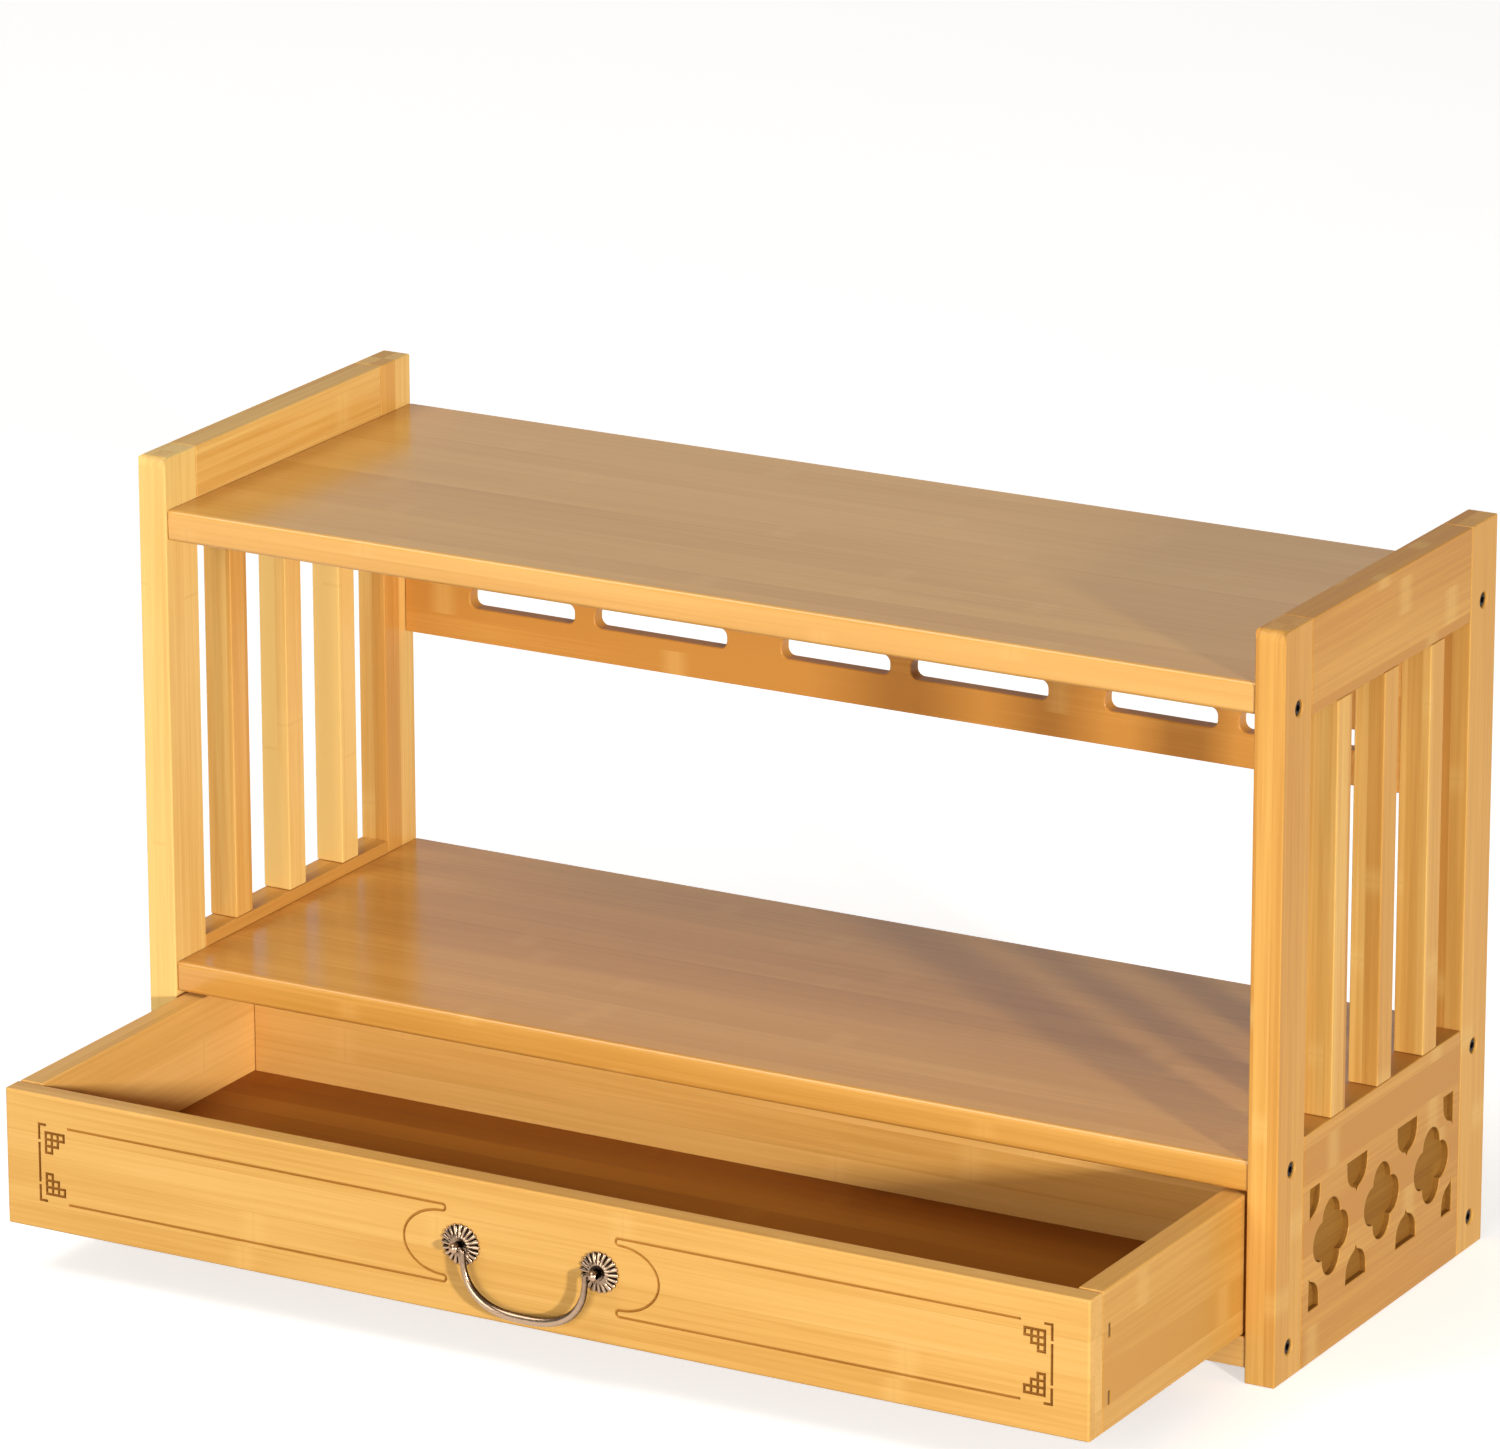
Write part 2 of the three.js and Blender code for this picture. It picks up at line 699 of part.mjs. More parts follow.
// Middle line of the bail from one pin end to the other, in its own plane (X, Z), with its radius.
// The fullness bends the half ellipse outwards: 1 leaves it an ellipse, less makes it squarer.
function bailLine() {
  const halfWidth = handleHalf - knobRadius - bailPlay - bailEndRadius;
  const bendStart = halfWidth + bailBend;
  const pinEnd = handleHalf + knobRadius / 2;
  const line = [[-pinEnd, 0, pinRadius], [-bendStart, 0, pinRadius]];
  for (let step = 1; step <= bendSteps; step += 1) {
    const turn = Math.PI / 2 * step / bendSteps;
    const radius = THREE.MathUtils.lerp(pinRadius, bailEndRadius, step / bendSteps);
    line.push([bailBend * Math.sin(turn) - bendStart, bailBend * Math.cos(turn) - bailBend, radius]);
  }
  for (let step = 1; step < bailSteps; step += 1) {
    const turn = Math.PI * step / bailSteps;
    const swell = Math.sin(turn);
    const radius = THREE.MathUtils.lerp(bailEndRadius, bailMiddleRadius, swell);
    const across = Math.sign(Math.cos(turn)) * Math.abs(Math.cos(turn)) ** bailFullness;
    line.push([-halfWidth * across, -bailBend - (bailDrop - bailBend) * swell ** bailFullness, radius]);
  }
  const mirrored = line.slice(0, bendSteps + 2).reverse().map(([x, z, radius]) => [-x, z, radius]);
  return [...line, ...mirrored];
}

// The bail: a round rod along its middle line, thicker in the middle
function bail() {
  const line = bailLine();
  const positions = [];
  const index = [];
  line.forEach(([x, z, radius], ring) => {
    const before = line[Math.max(ring - 1, 0)];
    const after = line[Math.min(ring + 1, line.length - 1)];
    const along = new THREE.Vector2(after[0] - before[0], after[1] - before[1]).normalize();
    for (let corner = 0; corner < rodSides; corner += 1) {
      const turn = 2 * Math.PI * corner / rodSides;
      const across = radius * Math.cos(turn);
      positions.push(x - along.y * across, radius * Math.sin(turn), z + along.x * across);
    }
  });
  const lastRing = (line.length - 1) * rodSides;
  for (let corner = 0; corner < rodSides; corner += 1) {
    const next = (corner + 1) % rodSides;
    for (let ring = 0; ring < line.length - 1; ring += 1) {
      const [here, there] = [ring * rodSides, (ring + 1) * rodSides];
      index.push(here + corner, there + corner, here + next, here + next, there + corner, there + next);
    }
    if (corner > 0 && corner < rodSides - 1) {
      index.push(0, corner, next, lastRing, lastRing + next, lastRing + corner);
    }
  }
  const bent = new THREE.BufferGeometry();
  bent.setAttribute('position', new THREE.Float32BufferAttribute(positions, 3));
  bent.setIndex(index);
  bent.computeVertexNormals();
  return bent;
}

// The handle on the drawer front
function handle() {
  const pull = new THREE.Group();
  for (const side of [-1, 1]) {
    const name = side > 0 ? 'right' : 'left';
    const x = side * handleHalf;
    const disc = part(`handle_${name}_rosette`, rosette(), antiqueBronze);
    disc.rotation.x = Math.PI;
    disc.position.set(x, drawerFace - jointGap, handleHeight);
    const ball = part(`handle_${name}_knob`, knob(), antiqueBronze);
    ball.rotation.x = Math.PI;
    ball.position.set(x, handleFace, handleHeight);
    pull.add(disc, ball);
  }
  const swing = part('handle_bail', bail(), antiqueBronze);
  swing.position.set(0, handleFace, handleHeight);
  pull.add(swing);
  return pull;
}

// The whole cabinet
const cabinet = new THREE.Group();
cabinet.add(endFrame(-1), endFrame(1));
cabinet.add(part('upper_shelf', shelf(upperShelfUnderside), shelfBamboo));
cabinet.add(part('lower_shelf', shelf(lowerShelfUnderside), shelfBamboo));
cabinet.add(part('back_board', backBoard(), shelfBamboo));
cabinet.add(part('front_bottom_rail', bottomRail(shelfSetback), shelfBamboo));
cabinet.add(part('rear_bottom_rail', bottomRail(depth - bottomRailThickness), shelfBamboo));
cabinet.add(drawer(), handle());

// The origin moves to the middle of the outline, so half the drawer's reach is taken off
cabinet.updateMatrixWorld(true);
const outlineBox = new THREE.Box3().setFromObject(cabinet);
cabinet.position.y = -(outlineBox.min.y + outlineBox.max.y) / 2;

export default cabinet;
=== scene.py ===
import math

import bmesh
import bpy
from mathutils import Matrix, Vector


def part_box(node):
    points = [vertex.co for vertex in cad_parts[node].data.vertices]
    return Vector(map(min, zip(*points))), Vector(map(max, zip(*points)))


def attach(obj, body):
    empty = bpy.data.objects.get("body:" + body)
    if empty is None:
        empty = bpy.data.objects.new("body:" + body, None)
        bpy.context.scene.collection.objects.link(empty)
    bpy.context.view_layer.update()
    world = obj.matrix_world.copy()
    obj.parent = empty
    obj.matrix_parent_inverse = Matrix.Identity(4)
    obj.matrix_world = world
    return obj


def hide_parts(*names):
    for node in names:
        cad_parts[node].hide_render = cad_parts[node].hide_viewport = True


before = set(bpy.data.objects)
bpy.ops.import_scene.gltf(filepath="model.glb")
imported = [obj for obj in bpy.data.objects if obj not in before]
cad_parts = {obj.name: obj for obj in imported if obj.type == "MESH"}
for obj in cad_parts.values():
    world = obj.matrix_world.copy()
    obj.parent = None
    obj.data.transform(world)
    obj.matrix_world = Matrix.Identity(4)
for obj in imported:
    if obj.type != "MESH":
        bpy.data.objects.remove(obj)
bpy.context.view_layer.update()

MM = 0.001
TOLERANCE = 1e-6
MITRE_LIMIT = 0.3

# Camera, fitted to the photograph: its place, the way it looks, its roll and its lens
EYE = Vector((1.9416, -3.4155, 1.4851))
LOOK = Vector((-0.4695, 0.8312, -0.2978))
ROLL = math.radians(-0.13)
LENS = 214.7
SENSOR = 36.0

# Edge roundings
SMALL_EDGE = 0.6 * MM
SHELF_EDGE = 2.2 * MM
POST_TOP_EDGE = 5.0 * MM
DRAWER_EDGE = 1.2 * MM
DRAWER_INNER_EDGE = 2.4 * MM
DRAWER_SIDE_EDGE = 1.0 * MM
STAPLE_EDGE = 0.35 * MM
EDGE_SEGMENTS = 4

# Screws, their holes and the staples' slots
SCREW_RADIUS = 3.2 * MM
SCREW_DOME = 0.5 * MM
SCREW_SEGMENTS = 40
SOCKET_RADIUS = 1.75 * MM
SOCKET_DEPTH = 1.8 * MM
HOLE_RADIUS = 3.7 * MM
HOLE_DEPTH = 3.9 * MM
HOLE_CHAMFER = 0.55 * MM
SOCKET_RIM = 0.15 * MM
STAPLE_PLAY = 0.3 * MM
STAPLE_SLOT_DEPTH = 4.0 * MM
STAPLE_SLOT_RIM = 0.2 * MM
STAPLE_SLOT_CORNER = 0.5 * MM

# Carving of the lower end panels
CARVING_DEPTH = 3.0 * MM
CARVING_RIM = 0.35 * MM
CARVING_TOP_MARGIN = 27.5 * MM
CARVING_BOTTOM_MARGIN = 25.5 * MM
CARVING_END_MARGIN = 7.0 * MM
QUATREFOIL_PITCH = 53.0 * MM
LOBE_RADIUS = 9.2 * MM
LOBE_OFFSET = 9.3 * MM
LOBE_STEPS = 18
CUP_WIDTH = 21.4 * MM
CUP_HEIGHT = 16.8 * MM

# Slots of the back board, in groups of a short and a long one
SHORT_SLOT = 59.5 * MM
LONG_SLOT = 74.0 * MM
SLOT_BRIDGE = 11.3 * MM
SLOT_GROUP_GAP = 30.2 * MM
SLOT_END_MARGIN = 30.0 * MM
SLOT_HEIGHT = 10.0 * MM
SLOT_LIFT = 17.3 * MM
SLOT_CORNER = 4.0 * MM
SLOT_RIM = 0.5 * MM

# Engraving of the drawer front
LINE_WIDTH = 1.3 * MM
LINE_DEPTH = 0.8 * MM
LINE_TAPER = 0.35 * MM
FRET_WIDTH = 1.35 * MM
END_INSET = 18.5 * MM
EDGE_INSET = 14.6 * MM
BRACKET_GAP = 9.9 * MM
BRACKET_REACH = 20.5 * MM
HOOK_RADIUS = 1.6 * MM
FRET_CELL = 3.3 * MM
FRET_OFFSET = 3.6 * MM
FRET_STEPS = 3
CORNER_LINE = 7.0 * MM
CORNER_GAP = 2.6 * MM
CORNER_TICK = 3.3 * MM
TOP_LINE_INSET = 15.5 * MM

# Handle
PETALS = 20
PETAL_STEPS = 12
PETAL_FULLNESS = 0.7
PETAL_NOTCH = 0.11
GAP_START = 0.5
GAP_RAMP = 0.16
GAP_DEPTH = 1.15 * MM
ROSETTE_RADIUS = 10.0 * MM
ROSETTE_RISE = 2.4 * MM
ROSETTE_RINGS = 22
# Share of the rosette's radius round the stem that is painted dark, as the stem's painted shadow
ROSETTE_RIM = 0.72
ROSETTE_STEM_SHADOW = 0.24
ROSETTE_SWELL = 0.35 * MM
KNOB_RADIUS = 2.5 * MM
KNOB_SEGMENTS = 48
STEM_RADIUS = 1.4 * MM
STEM_PLAY = 0.3 * MM
COLLAR_STEP = 0.25 * MM
COLLAR_START = 3.1 * MM
COLLAR_END = 3.4 * MM
PIN_RADIUS = 1.1 * MM
PIN_PLAY = 0.4 * MM
PIN_CHAMFER = 0.25 * MM
PIN_END_SHARE = 0.8
BAIL_END_RADIUS = 1.3 * MM
BAIL_MIDDLE_RADIUS = 2.2 * MM
BAIL_BEND = 1.5 * MM
BAIL_PLAY = 0.5 * MM
BAIL_FULLNESS = 0.8

# Bamboo strips, the layers they lie in, and how far their seams wander
STRIP_WIDTH = 17.5 * MM
STRIP_LAYER = 7.5 * MM
STRIP_DRIFT = 0.5 * MM

# Shifts of the grain, so that no two strips and no two boards look alike
STRIP_SHIFT = 3.7
GRAIN_STEP = 0.618
LAYER_STEP = 0.131

# Nodes of the cane: their spacing, and how wide (as a share of it) and how strong their marks are
NODE_SPACING = 0.34
NODE_BAND = 0.03
NODE_LINE = 0.004
NODE_BAND_SHARE = 0.30
NODE_LINE_SHARE = 0.16

# Noise of the grain, as waves per metre along and across it
WAVE_SCALES = (5.0, 25.0)
FIBRE_SCALES = (7.0, 420.0)
HAIR_SCALES = (22.0, 2400.0)
CLOUD_SCALES = (3.0, 18.0)

# How much each kind of grain changes the colour
FIBRE_WEIGHT = 0.22
HAIR_WEIGHT = 0.22
CLOUD_WEIGHT = 0.70
STRIP_WEIGHT = 0.30

# Floor and even light from all round
FLOOR_REACH = 40.0
FLOOR_DROP = 0.2 * MM
FLOOR_DARK = (0.86, 0.86, 0.86)
FLOOR_PALE = (0.9, 0.9, 0.9)
FLOOR_GLOW = 0.55
WORLD_STRENGTH = 0.2
WORLD_COLOUR = (1.0, 0.98, 0.95)

# Lights as (name, azimuth, elevation, distance, size, power, colour), in degrees, metres and watts
LIGHTS = [
    ("key", 58, 9, 5.0, 0.3, 230.0, (1.0, 0.97, 0.89)),
    ("front_fill", 0, 7, 5.0, 3.0, 172.0, (1.0, 0.98, 0.92)),
    ("top_soft", -50, 57, 4.0, 2.0, 62.0, (1.0, 0.98, 0.94)),
    ("rear_screen", 209, 17, 5.0, 3.5, 14.0, (1.0, 0.98, 0.96)),
]
LIGHT_TARGET = Vector((0.0, 0.0, 0.15))

# Tone of each board against the rest of its wood, paler above 0 and darker below. The tones were
# tuned to the photograph under the lights above, so they partly stand in for its light.
BOARD_TONES_AND_LIGHT = {
    "left_front_post": 0.40,
    "left_top_rail": 0.12,
    "left_slat_1": 0.04,
    "left_slat_2": 0.44,
    "left_slat_3": 0.48,
    "right_front_post": -0.16,
    "right_rear_post": -0.24,
    "right_top_rail": -0.26,
    "right_lower_panel": -0.30,
    "right_slat_1": -0.04,
    "right_slat_2": -0.04,
    "right_slat_3": -0.04,
    "lower_shelf": -0.14,
    "back_board": -0.42,
    "drawer_left_side": 0.14,
    "drawer_right_side": -0.24,
}


# Meshes

def mesh_of(name, points, faces):
    """A mesh from points and faces, with its faces pointing out."""
    mesh = bpy.data.meshes.new(name)
    mesh.from_pydata([tuple(point) for point in points], [], faces)
    work = bmesh.new()
    work.from_mesh(mesh)
    bmesh.ops.recalc_face_normals(work, faces=work.faces)
    work.to_mesh(mesh)
    work.free()
    return mesh


def box_mesh(name, low, high, rounds=(), small=SMALL_EDGE):
    """A box whose edges carry bevel weights.

    rounds lists the wider edges as (place, place, radius), such as ("y-", "z+", SHELF_EDGE).
    """
    corners = [(x, y, z) for x in (low.x, high.x) for y in (low.y, high.y) for z in (low.z, high.z)]
    quads = [(0, 1, 3, 2), (4, 6, 7, 5), (0, 4, 5, 1), (2, 3, 7, 6), (0, 2, 6, 4), (1, 5, 7, 3)]
    mesh = mesh_of(name, corners, quads)
    widest = max([small, *[radius for _, _, radius in rounds]])
    weights = mesh.attributes.new("bevel_weight_edge", "FLOAT", "EDGE")
    for edge in mesh.edges:
        middle = (mesh.vertices[edge.vertices[0]].co + mesh.vertices[edge.vertices[1]].co) / 2
        radius = small
        for first, second, wanted in rounds:
            if is_at(middle, first, low, high) and is_at(middle, second, low, high):
                radius = wanted
        weights.data[edge.index].value = radius / widest
    return mesh, widest


def is_at(point, place, low, high):
    """True if a point lies on the side of a box that place names, such as "z+"."""
    axis = "xyz".index(place[0])
    side = high[axis] if place[1] == "+" else low[axis]
    return abs(point[axis] - side) < TOLERANCE


def clamped(value):
    """The value, kept between 0 and 1."""
    return min(1.0, max(0.0, value))


def offset_outline(outline, distance):
    """A closed outline, anticlockwise, moved outwards by a distance."""
    moved = []
    for index, point in enumerate(outline):
        into = (point - outline[index - 1]).normalized()
        out = (outline[(index + 1) % len(outline)] - point).normalized()
        first, second = Vector((into.y, -into.x)), Vector((out.y, -out.x))
        moved.append(point + (first + second) * distance / max(MITRE_LIMIT, 1 + first.dot(second)))
    return moved


def anticlockwise(outline):
    """The outline in anticlockwise order."""
    area = sum(a.x * b.y - b.x * a.y for a, b in zip(outline, outline[1:] + outline[:1]))
    return outline if area > 0 else outline[::-1]


def add_prism(points, faces, outline, levels, place):
    """Adds a closed prism.

    levels are (depth, offset of the outline), and place turns (u, v, depth) into a point.
    """
    start, count = len(points), len(outline)
    outline = anticlockwise(outline)
    for depth, offset in levels:
        points.extend(place(point.x, point.y, depth) for point in offset_outline(outline, offset))
    for level in range(len(levels) - 1):
        here = start + level * count
        for index in range(count):
            after = (index + 1) % count
            faces.append((here + index, here + after, here + count + after, here + count + index))
    faces.append(tuple(start + index for index in reversed(range(count))))
    last = start + (len(levels) - 1) * count
    faces.append(tuple(last + index for index in range(count)))


def cutter_mesh(name, prisms):
    """One mesh of several prisms, each (outline, levels, place)."""
    points, faces = [], []
    for outline, levels, place in prisms:
        add_prism(points, faces, outline, levels, place)
    return mesh_of(name, points, faces)


def turned_mesh(name, profile, segments, place):
    """A closed turned body. The profile is (radius, height) and starts and ends on the axis."""
    points, faces, rings = [], [], []
    for radius, height in profile:
        rings.append(len(points))
        if radius == 0:
            points.append(place(0, 0, height))
            continue
        for step in range(segments):
            turn = 2 * math.pi * step / segments
            points.append(place(radius * math.cos(turn), radius * math.sin(turn), height))
    join_rings(faces, rings, segments, len(points))
    return mesh_of(name, points, faces)


def join_rings(faces, rings, segments, total):
    """Faces between following rings, each of one point or of as many as there are segments."""
    ends = rings[1:] + [total]
    for here, there, after in zip(rings, rings[1:], ends[1:]):
        lone, next_lone = there - here == 1, after - there == 1
        for step in range(segments):
            other = (step + 1) % segments
            if lone:
                faces.append((here, there + step, there + other))
            elif next_lone:
                faces.append((here + step, there, here + other))
            else:
                faces.append((here + step, there + step, there + other, here + other))


def applied(mesh, width=0.0, cutter=None):
    """The mesh with its weighted edges rounded and a cutter's mesh taken out of it."""
    work = bpy.data.objects.new("work", mesh)
    bpy.context.scene.collection.objects.link(work)
    tool = None
    if width:
        bevel = work.modifiers.new("edges", "BEVEL")
        bevel.limit_method = "WEIGHT"
        bevel.width = width
        bevel.segments = EDGE_SEGMENTS
    if cutter:
        tool = bpy.data.objects.new("tool", cutter)
        bpy.context.scene.collection.objects.link(tool)
        cut = work.modifiers.new("cut", "BOOLEAN")
        cut.operation = "DIFFERENCE"
        cut.solver = "EXACT"
        cut.use_self = True
        cut.object = tool
    graph = bpy.context.evaluated_depsgraph_get()
    made = bpy.data.meshes.new_from_object(work.evaluated_get(graph), depsgraph=graph)
    bpy.data.objects.remove(work)
    if tool:
        bpy.data.objects.remove(tool)
    return made


def set_grain(mesh, axes, shift, tone):
    """Stores each point's place along, across and through the strips, and the board's tone, which is
    partly its own and partly painted light and shade.
    """
    grain = mesh.attributes.new("grain", "FLOAT_VECTOR", "POINT")
    order = ["XYZ".index(axis) for axis in axes]
    for vertex in mesh.vertices:
        place = [vertex.co[axis] + moved for axis, moved in zip(order, shift)]
        grain.data[vertex.index].vector = place
    board_tone_and_light = mesh.attributes.new("board_tone_and_light", "FLOAT", "POINT")
    board_tone_and_light.data.foreach_set("value", [tone] * len(mesh.vertices))


def add_piece(node, mesh, body, materials, sharp=35.0):
    """Shows a mesh in place of a CAD node, on its body."""
    mesh.materials.clear()
    for material in materials:
        mesh.materials.append(material)
    mesh.shade_smooth()
    mesh.set_sharp_from_angle(angle=math.radians(sharp))
    piece = bpy.data.objects.new(f"{node}_fine", mesh)
    bpy.context.scene.collection.objects.link(piece)
    even = piece.modifiers.new("even_normals", "WEIGHTED_NORMAL")
    even.keep_sharp = True
    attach(piece, body)
    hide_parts(node)
    return piece


# Materials

class Nodes:
    """Short names for making a material's nodes."""

    def __init__(self, name):
        self.material = bpy.data.materials.new(name)
        self.material.use_nodes = True
        self.tree = self.material.node_tree
        self.shader = self.tree.nodes["Principled BSDF"]

    def link(self, source, target):
        self.tree.links.new(source, target)

    def add(self, kind, **settings):
        node = self.tree.nodes.new(kind)
        for name, value in settings.items():
            setattr(node, name, value)
        return node

    def fill(self, socket, value):
        if isinstance(value, (int, float, tuple)):
            socket.default_value = value
        else:
            self.link(value, socket)

    def math(self, operation, *values):
        node = self.add("ShaderNodeMath", operation=operation)
        for socket, value in zip(node.inputs, values):
            self.fill(socket, value)
        return node.outputs[0]

    def swing(self, value, weight):
        """How far a value lies from one half, times a weight."""
        return self.math("MULTIPLY", self.math("SUBTRACT", value, 0.5), weight)

    def combine(self, x, y, z):
        node = self.add("ShaderNodeCombineXYZ")
        for socket, value in zip(node.inputs, (x, y, z)):
            self.fill(socket, value)
        return node.outputs[0]

    def noise(self, vector, scale=1.0, detail=3.0, roughness=0.5):
        node = self.add("ShaderNodeTexNoise")
        self.fill(node.inputs["Vector"], vector)
        node.inputs["Scale"].default_value = scale
        node.inputs["Detail"].default_value = detail
        node.inputs["Roughness"].default_value = roughness
        return node.outputs["Fac"]

    def grain_noise(self, along, across, through, scales, detail, roughness=0.5):
        """Noise drawn out along the grain."""
        lengthwise, crosswise = scales
        vector = self.combine(
            self.math("MULTIPLY", along, lengthwise),
            self.math("MULTIPLY", across, crosswise),
            self.math("MULTIPLY", through, crosswise),
        )
        return self.noise(vector, detail=detail, roughness=roughness)

    def stretch(self, value, low, high, new_low=0.0, new_high=1.0):
        node = self.add("ShaderNodeMapRange", interpolation_type="SMOOTHSTEP")
        for socket, item in zip(node.inputs, (value, low, high, new_low, new_high)):
            self.fill(socket, item)
        return node.outputs[0]

    def ramp(self, value, stops):
        node = self.add("ShaderNodeValToRGB")
        self.fill(node.inputs[0], value)
        while len(node.color_ramp.elements) < len(stops):
            node.color_ramp.elements.new(0.5)
        for element, (place, colour) in zip(node.color_ramp.elements, stops):
            element.position = place
            element.color = (*colour, 1.0)
        return node.outputs[0]

    def mix(self, share, first, second):
        node = self.add("ShaderNodeMix", data_type="RGBA")
        self.fill(node.inputs["Factor"], share)
        for socket, value in ((node.inputs[6], first), (node.inputs[7], second)):
            self.fill(socket, (*value, 1.0) if isinstance(value, tuple) else value)
        return node.outputs[2]

    def bump(self, height, distance, strength=1.0):
        node = self.add("ShaderNodeBump")
        node.inputs["Strength"].default_value = strength
        node.inputs["Distance"].default_value = distance
        self.link(height, node.inputs["Height"])
        self.link(node.outputs[0], self.shader.inputs["Normal"])


def bamboo(name, dark, middle, pale, roughness=0.3, coat=0.15, gloss=0.45, seam=0.35, contrast=1.0):
    """Laminated bamboo: fibres along the grain, strips of their own tone, glue seams and pale nodes."""
    kit = Nodes(name)
    grain = kit.add("ShaderNodeAttribute", attribute_name="grain").outputs["Vector"]
    split = kit.add("ShaderNodeSeparateXYZ")
    kit.link(grain, split.inputs[0])
    along, across, through = split.outputs

    wave_along = kit.math("MULTIPLY", along, WAVE_SCALES[0])
    wave_across = kit.math("MULTIPLY", across, WAVE_SCALES[1])
    wave = kit.noise(kit.combine(wave_along, wave_across, through))
    drift = kit.swing(wave, STRIP_DRIFT)
    strip_place = kit.math("DIVIDE", kit.math("ADD", across, drift), STRIP_WIDTH)
    strip = kit.math("FLOOR", strip_place)
    dice = kit.add("ShaderNodeTexWhiteNoise", noise_dimensions="2D")
    layer = kit.math("FLOOR", kit.math("DIVIDE", through, STRIP_LAYER))
    kit.link(kit.combine(strip, layer, 0.0), dice.inputs["Vector"])
    tone = dice.outputs["Value"]

    shifted = kit.math("ADD", along, kit.math("MULTIPLY", tone, STRIP_SHIFT))
    fibre = kit.grain_noise(shifted, across, through, FIBRE_SCALES, detail=5.0, roughness=0.62)
    hair = kit.grain_noise(shifted, across, through, HAIR_SCALES, detail=2.0)
    cloud = kit.grain_noise(shifted, across, through, CLOUD_SCALES, detail=2.0)
    streak = kit.stretch(fibre, 0.28, 0.72)
    value = kit.swing(streak, FIBRE_WEIGHT * contrast)
    for kind, weight in ((hair, HAIR_WEIGHT), (cloud, CLOUD_WEIGHT), (tone, STRIP_WEIGHT)):
        value = kit.math("ADD", value, kit.swing(kind, weight * contrast))
    # The board's tone, partly its own and partly painted light and shade, moves the whole colour ramp
    board_tone_and_light = kit.add("ShaderNodeAttribute", attribute_name="board_tone_and_light").outputs["Fac"]
    value = kit.math("ADD", value, kit.math("ADD", board_tone_and_light, 0.5))
    colour = kit.ramp(value, [(0.12, dark), (0.5, middle), (0.9, pale)])

    # Nodes of the cane: a pale band with a thin brown line across each strip
    uneven = kit.math("MULTIPLY", hair, 0.004)
    node_place = kit.math("ADD", kit.math("DIVIDE", shifted, NODE_SPACING), uneven)
    from_node = kit.math("ABSOLUTE", kit.math("SUBTRACT", kit.math("FRACT", node_place), 0.5))
    band = kit.stretch(from_node, 0.0, NODE_BAND, 1.0, 0.0)
    line = kit.stretch(from_node, 0.0, NODE_LINE, 1.0, 0.0)
    colour = kit.mix(kit.math("MULTIPLY", band, NODE_BAND_SHARE), colour, pale)
    colour = kit.mix(kit.math("MULTIPLY", line, NODE_LINE_SHARE), colour, dark)

    # Glue seams between strips
    edge = kit.math("ABSOLUTE", kit.math("SUBTRACT", kit.math("FRACT", strip_place), 0.5))
    glue = kit.stretch(edge, 0.484, 0.497, 0.0, 1.0)
    colour = kit.mix(kit.math("MULTIPLY", glue, seam), colour, dark)
    kit.link(colour, kit.shader.inputs["Base Color"])

    sheen = kit.math("ADD", kit.swing(fibre, 0.25), roughness)
    kit.link(sheen, kit.shader.inputs["Roughness"])
    kit.shader.inputs["Specular IOR Level"].default_value = gloss
    kit.shader.inputs["Coat Weight"].default_value = coat
    kit.shader.inputs["Coat Roughness"].default_value = 0.16
    height = kit.math("ADD", kit.math("MULTIPLY", streak, 0.35), kit.math("MULTIPLY", hair, 0.5))
    height = kit.math("SUBTRACT", height, kit.math("MULTIPLY", glue, seam))
    kit.bump(height, 0.06 * MM, 0.6)
    return kit.material


def metal(name, hollow_and_shade, top, roughness):
    """Cast metal, dark in its hollows and rubbed bright on its ridges by the relief attribute; on the
    rosettes the dark round the stem is a painted shadow.
    """
    kit = Nodes(name)
    relief = kit.add("ShaderNodeAttribute", attribute_name="relief").outputs["Fac"]
    place = kit.add("ShaderNodeTexCoord").outputs["Object"]
    patches = kit.noise(place, scale=420.0, detail=4.0, roughness=0.6)
    grit = kit.noise(place, scale=3800.0, detail=2.0)
    wear_and_shade = kit.math("ADD", relief, kit.swing(patches, 0.35))
    colour = kit.ramp(kit.stretch(wear_and_shade, 0.1, 0.95), [(0.0, hollow_and_shade), (1.0, top)])
    kit.link(colour, kit.shader.inputs["Base Color"])
    kit.shader.inputs["Metallic"].default_value = 1.0
    rough = kit.math("ADD", roughness, kit.swing(patches, 0.15))
    kit.link(rough, kit.shader.inputs["Roughness"])
    kit.bump(kit.math("ADD", patches, kit.math("MULTIPLY", grit, 0.2)), 0.02 * MM, 0.35)
    return kit.material


def floor_paper():
    """Matt pale floor with a very faint unevenness."""
    kit = Nodes("floor_paper")
    place = kit.add("ShaderNodeTexCoord").outputs["Object"]
    uneven = kit.noise(place, scale=3.0, detail=2.0)
    shade = kit.ramp(uneven, [(0.0, FLOOR_DARK), (1.0, FLOOR_PALE)])
    kit.link(shade, kit.shader.inputs["Base Color"])
    kit.shader.inputs["Roughness"].default_value = 0.9
    kit.shader.inputs["Emission Color"].default_value = (1.0, 0.995, 0.99, 1.0)
    kit.shader.inputs["Emission Strength"].default_value = FLOOR_GLOW
    return kit.material


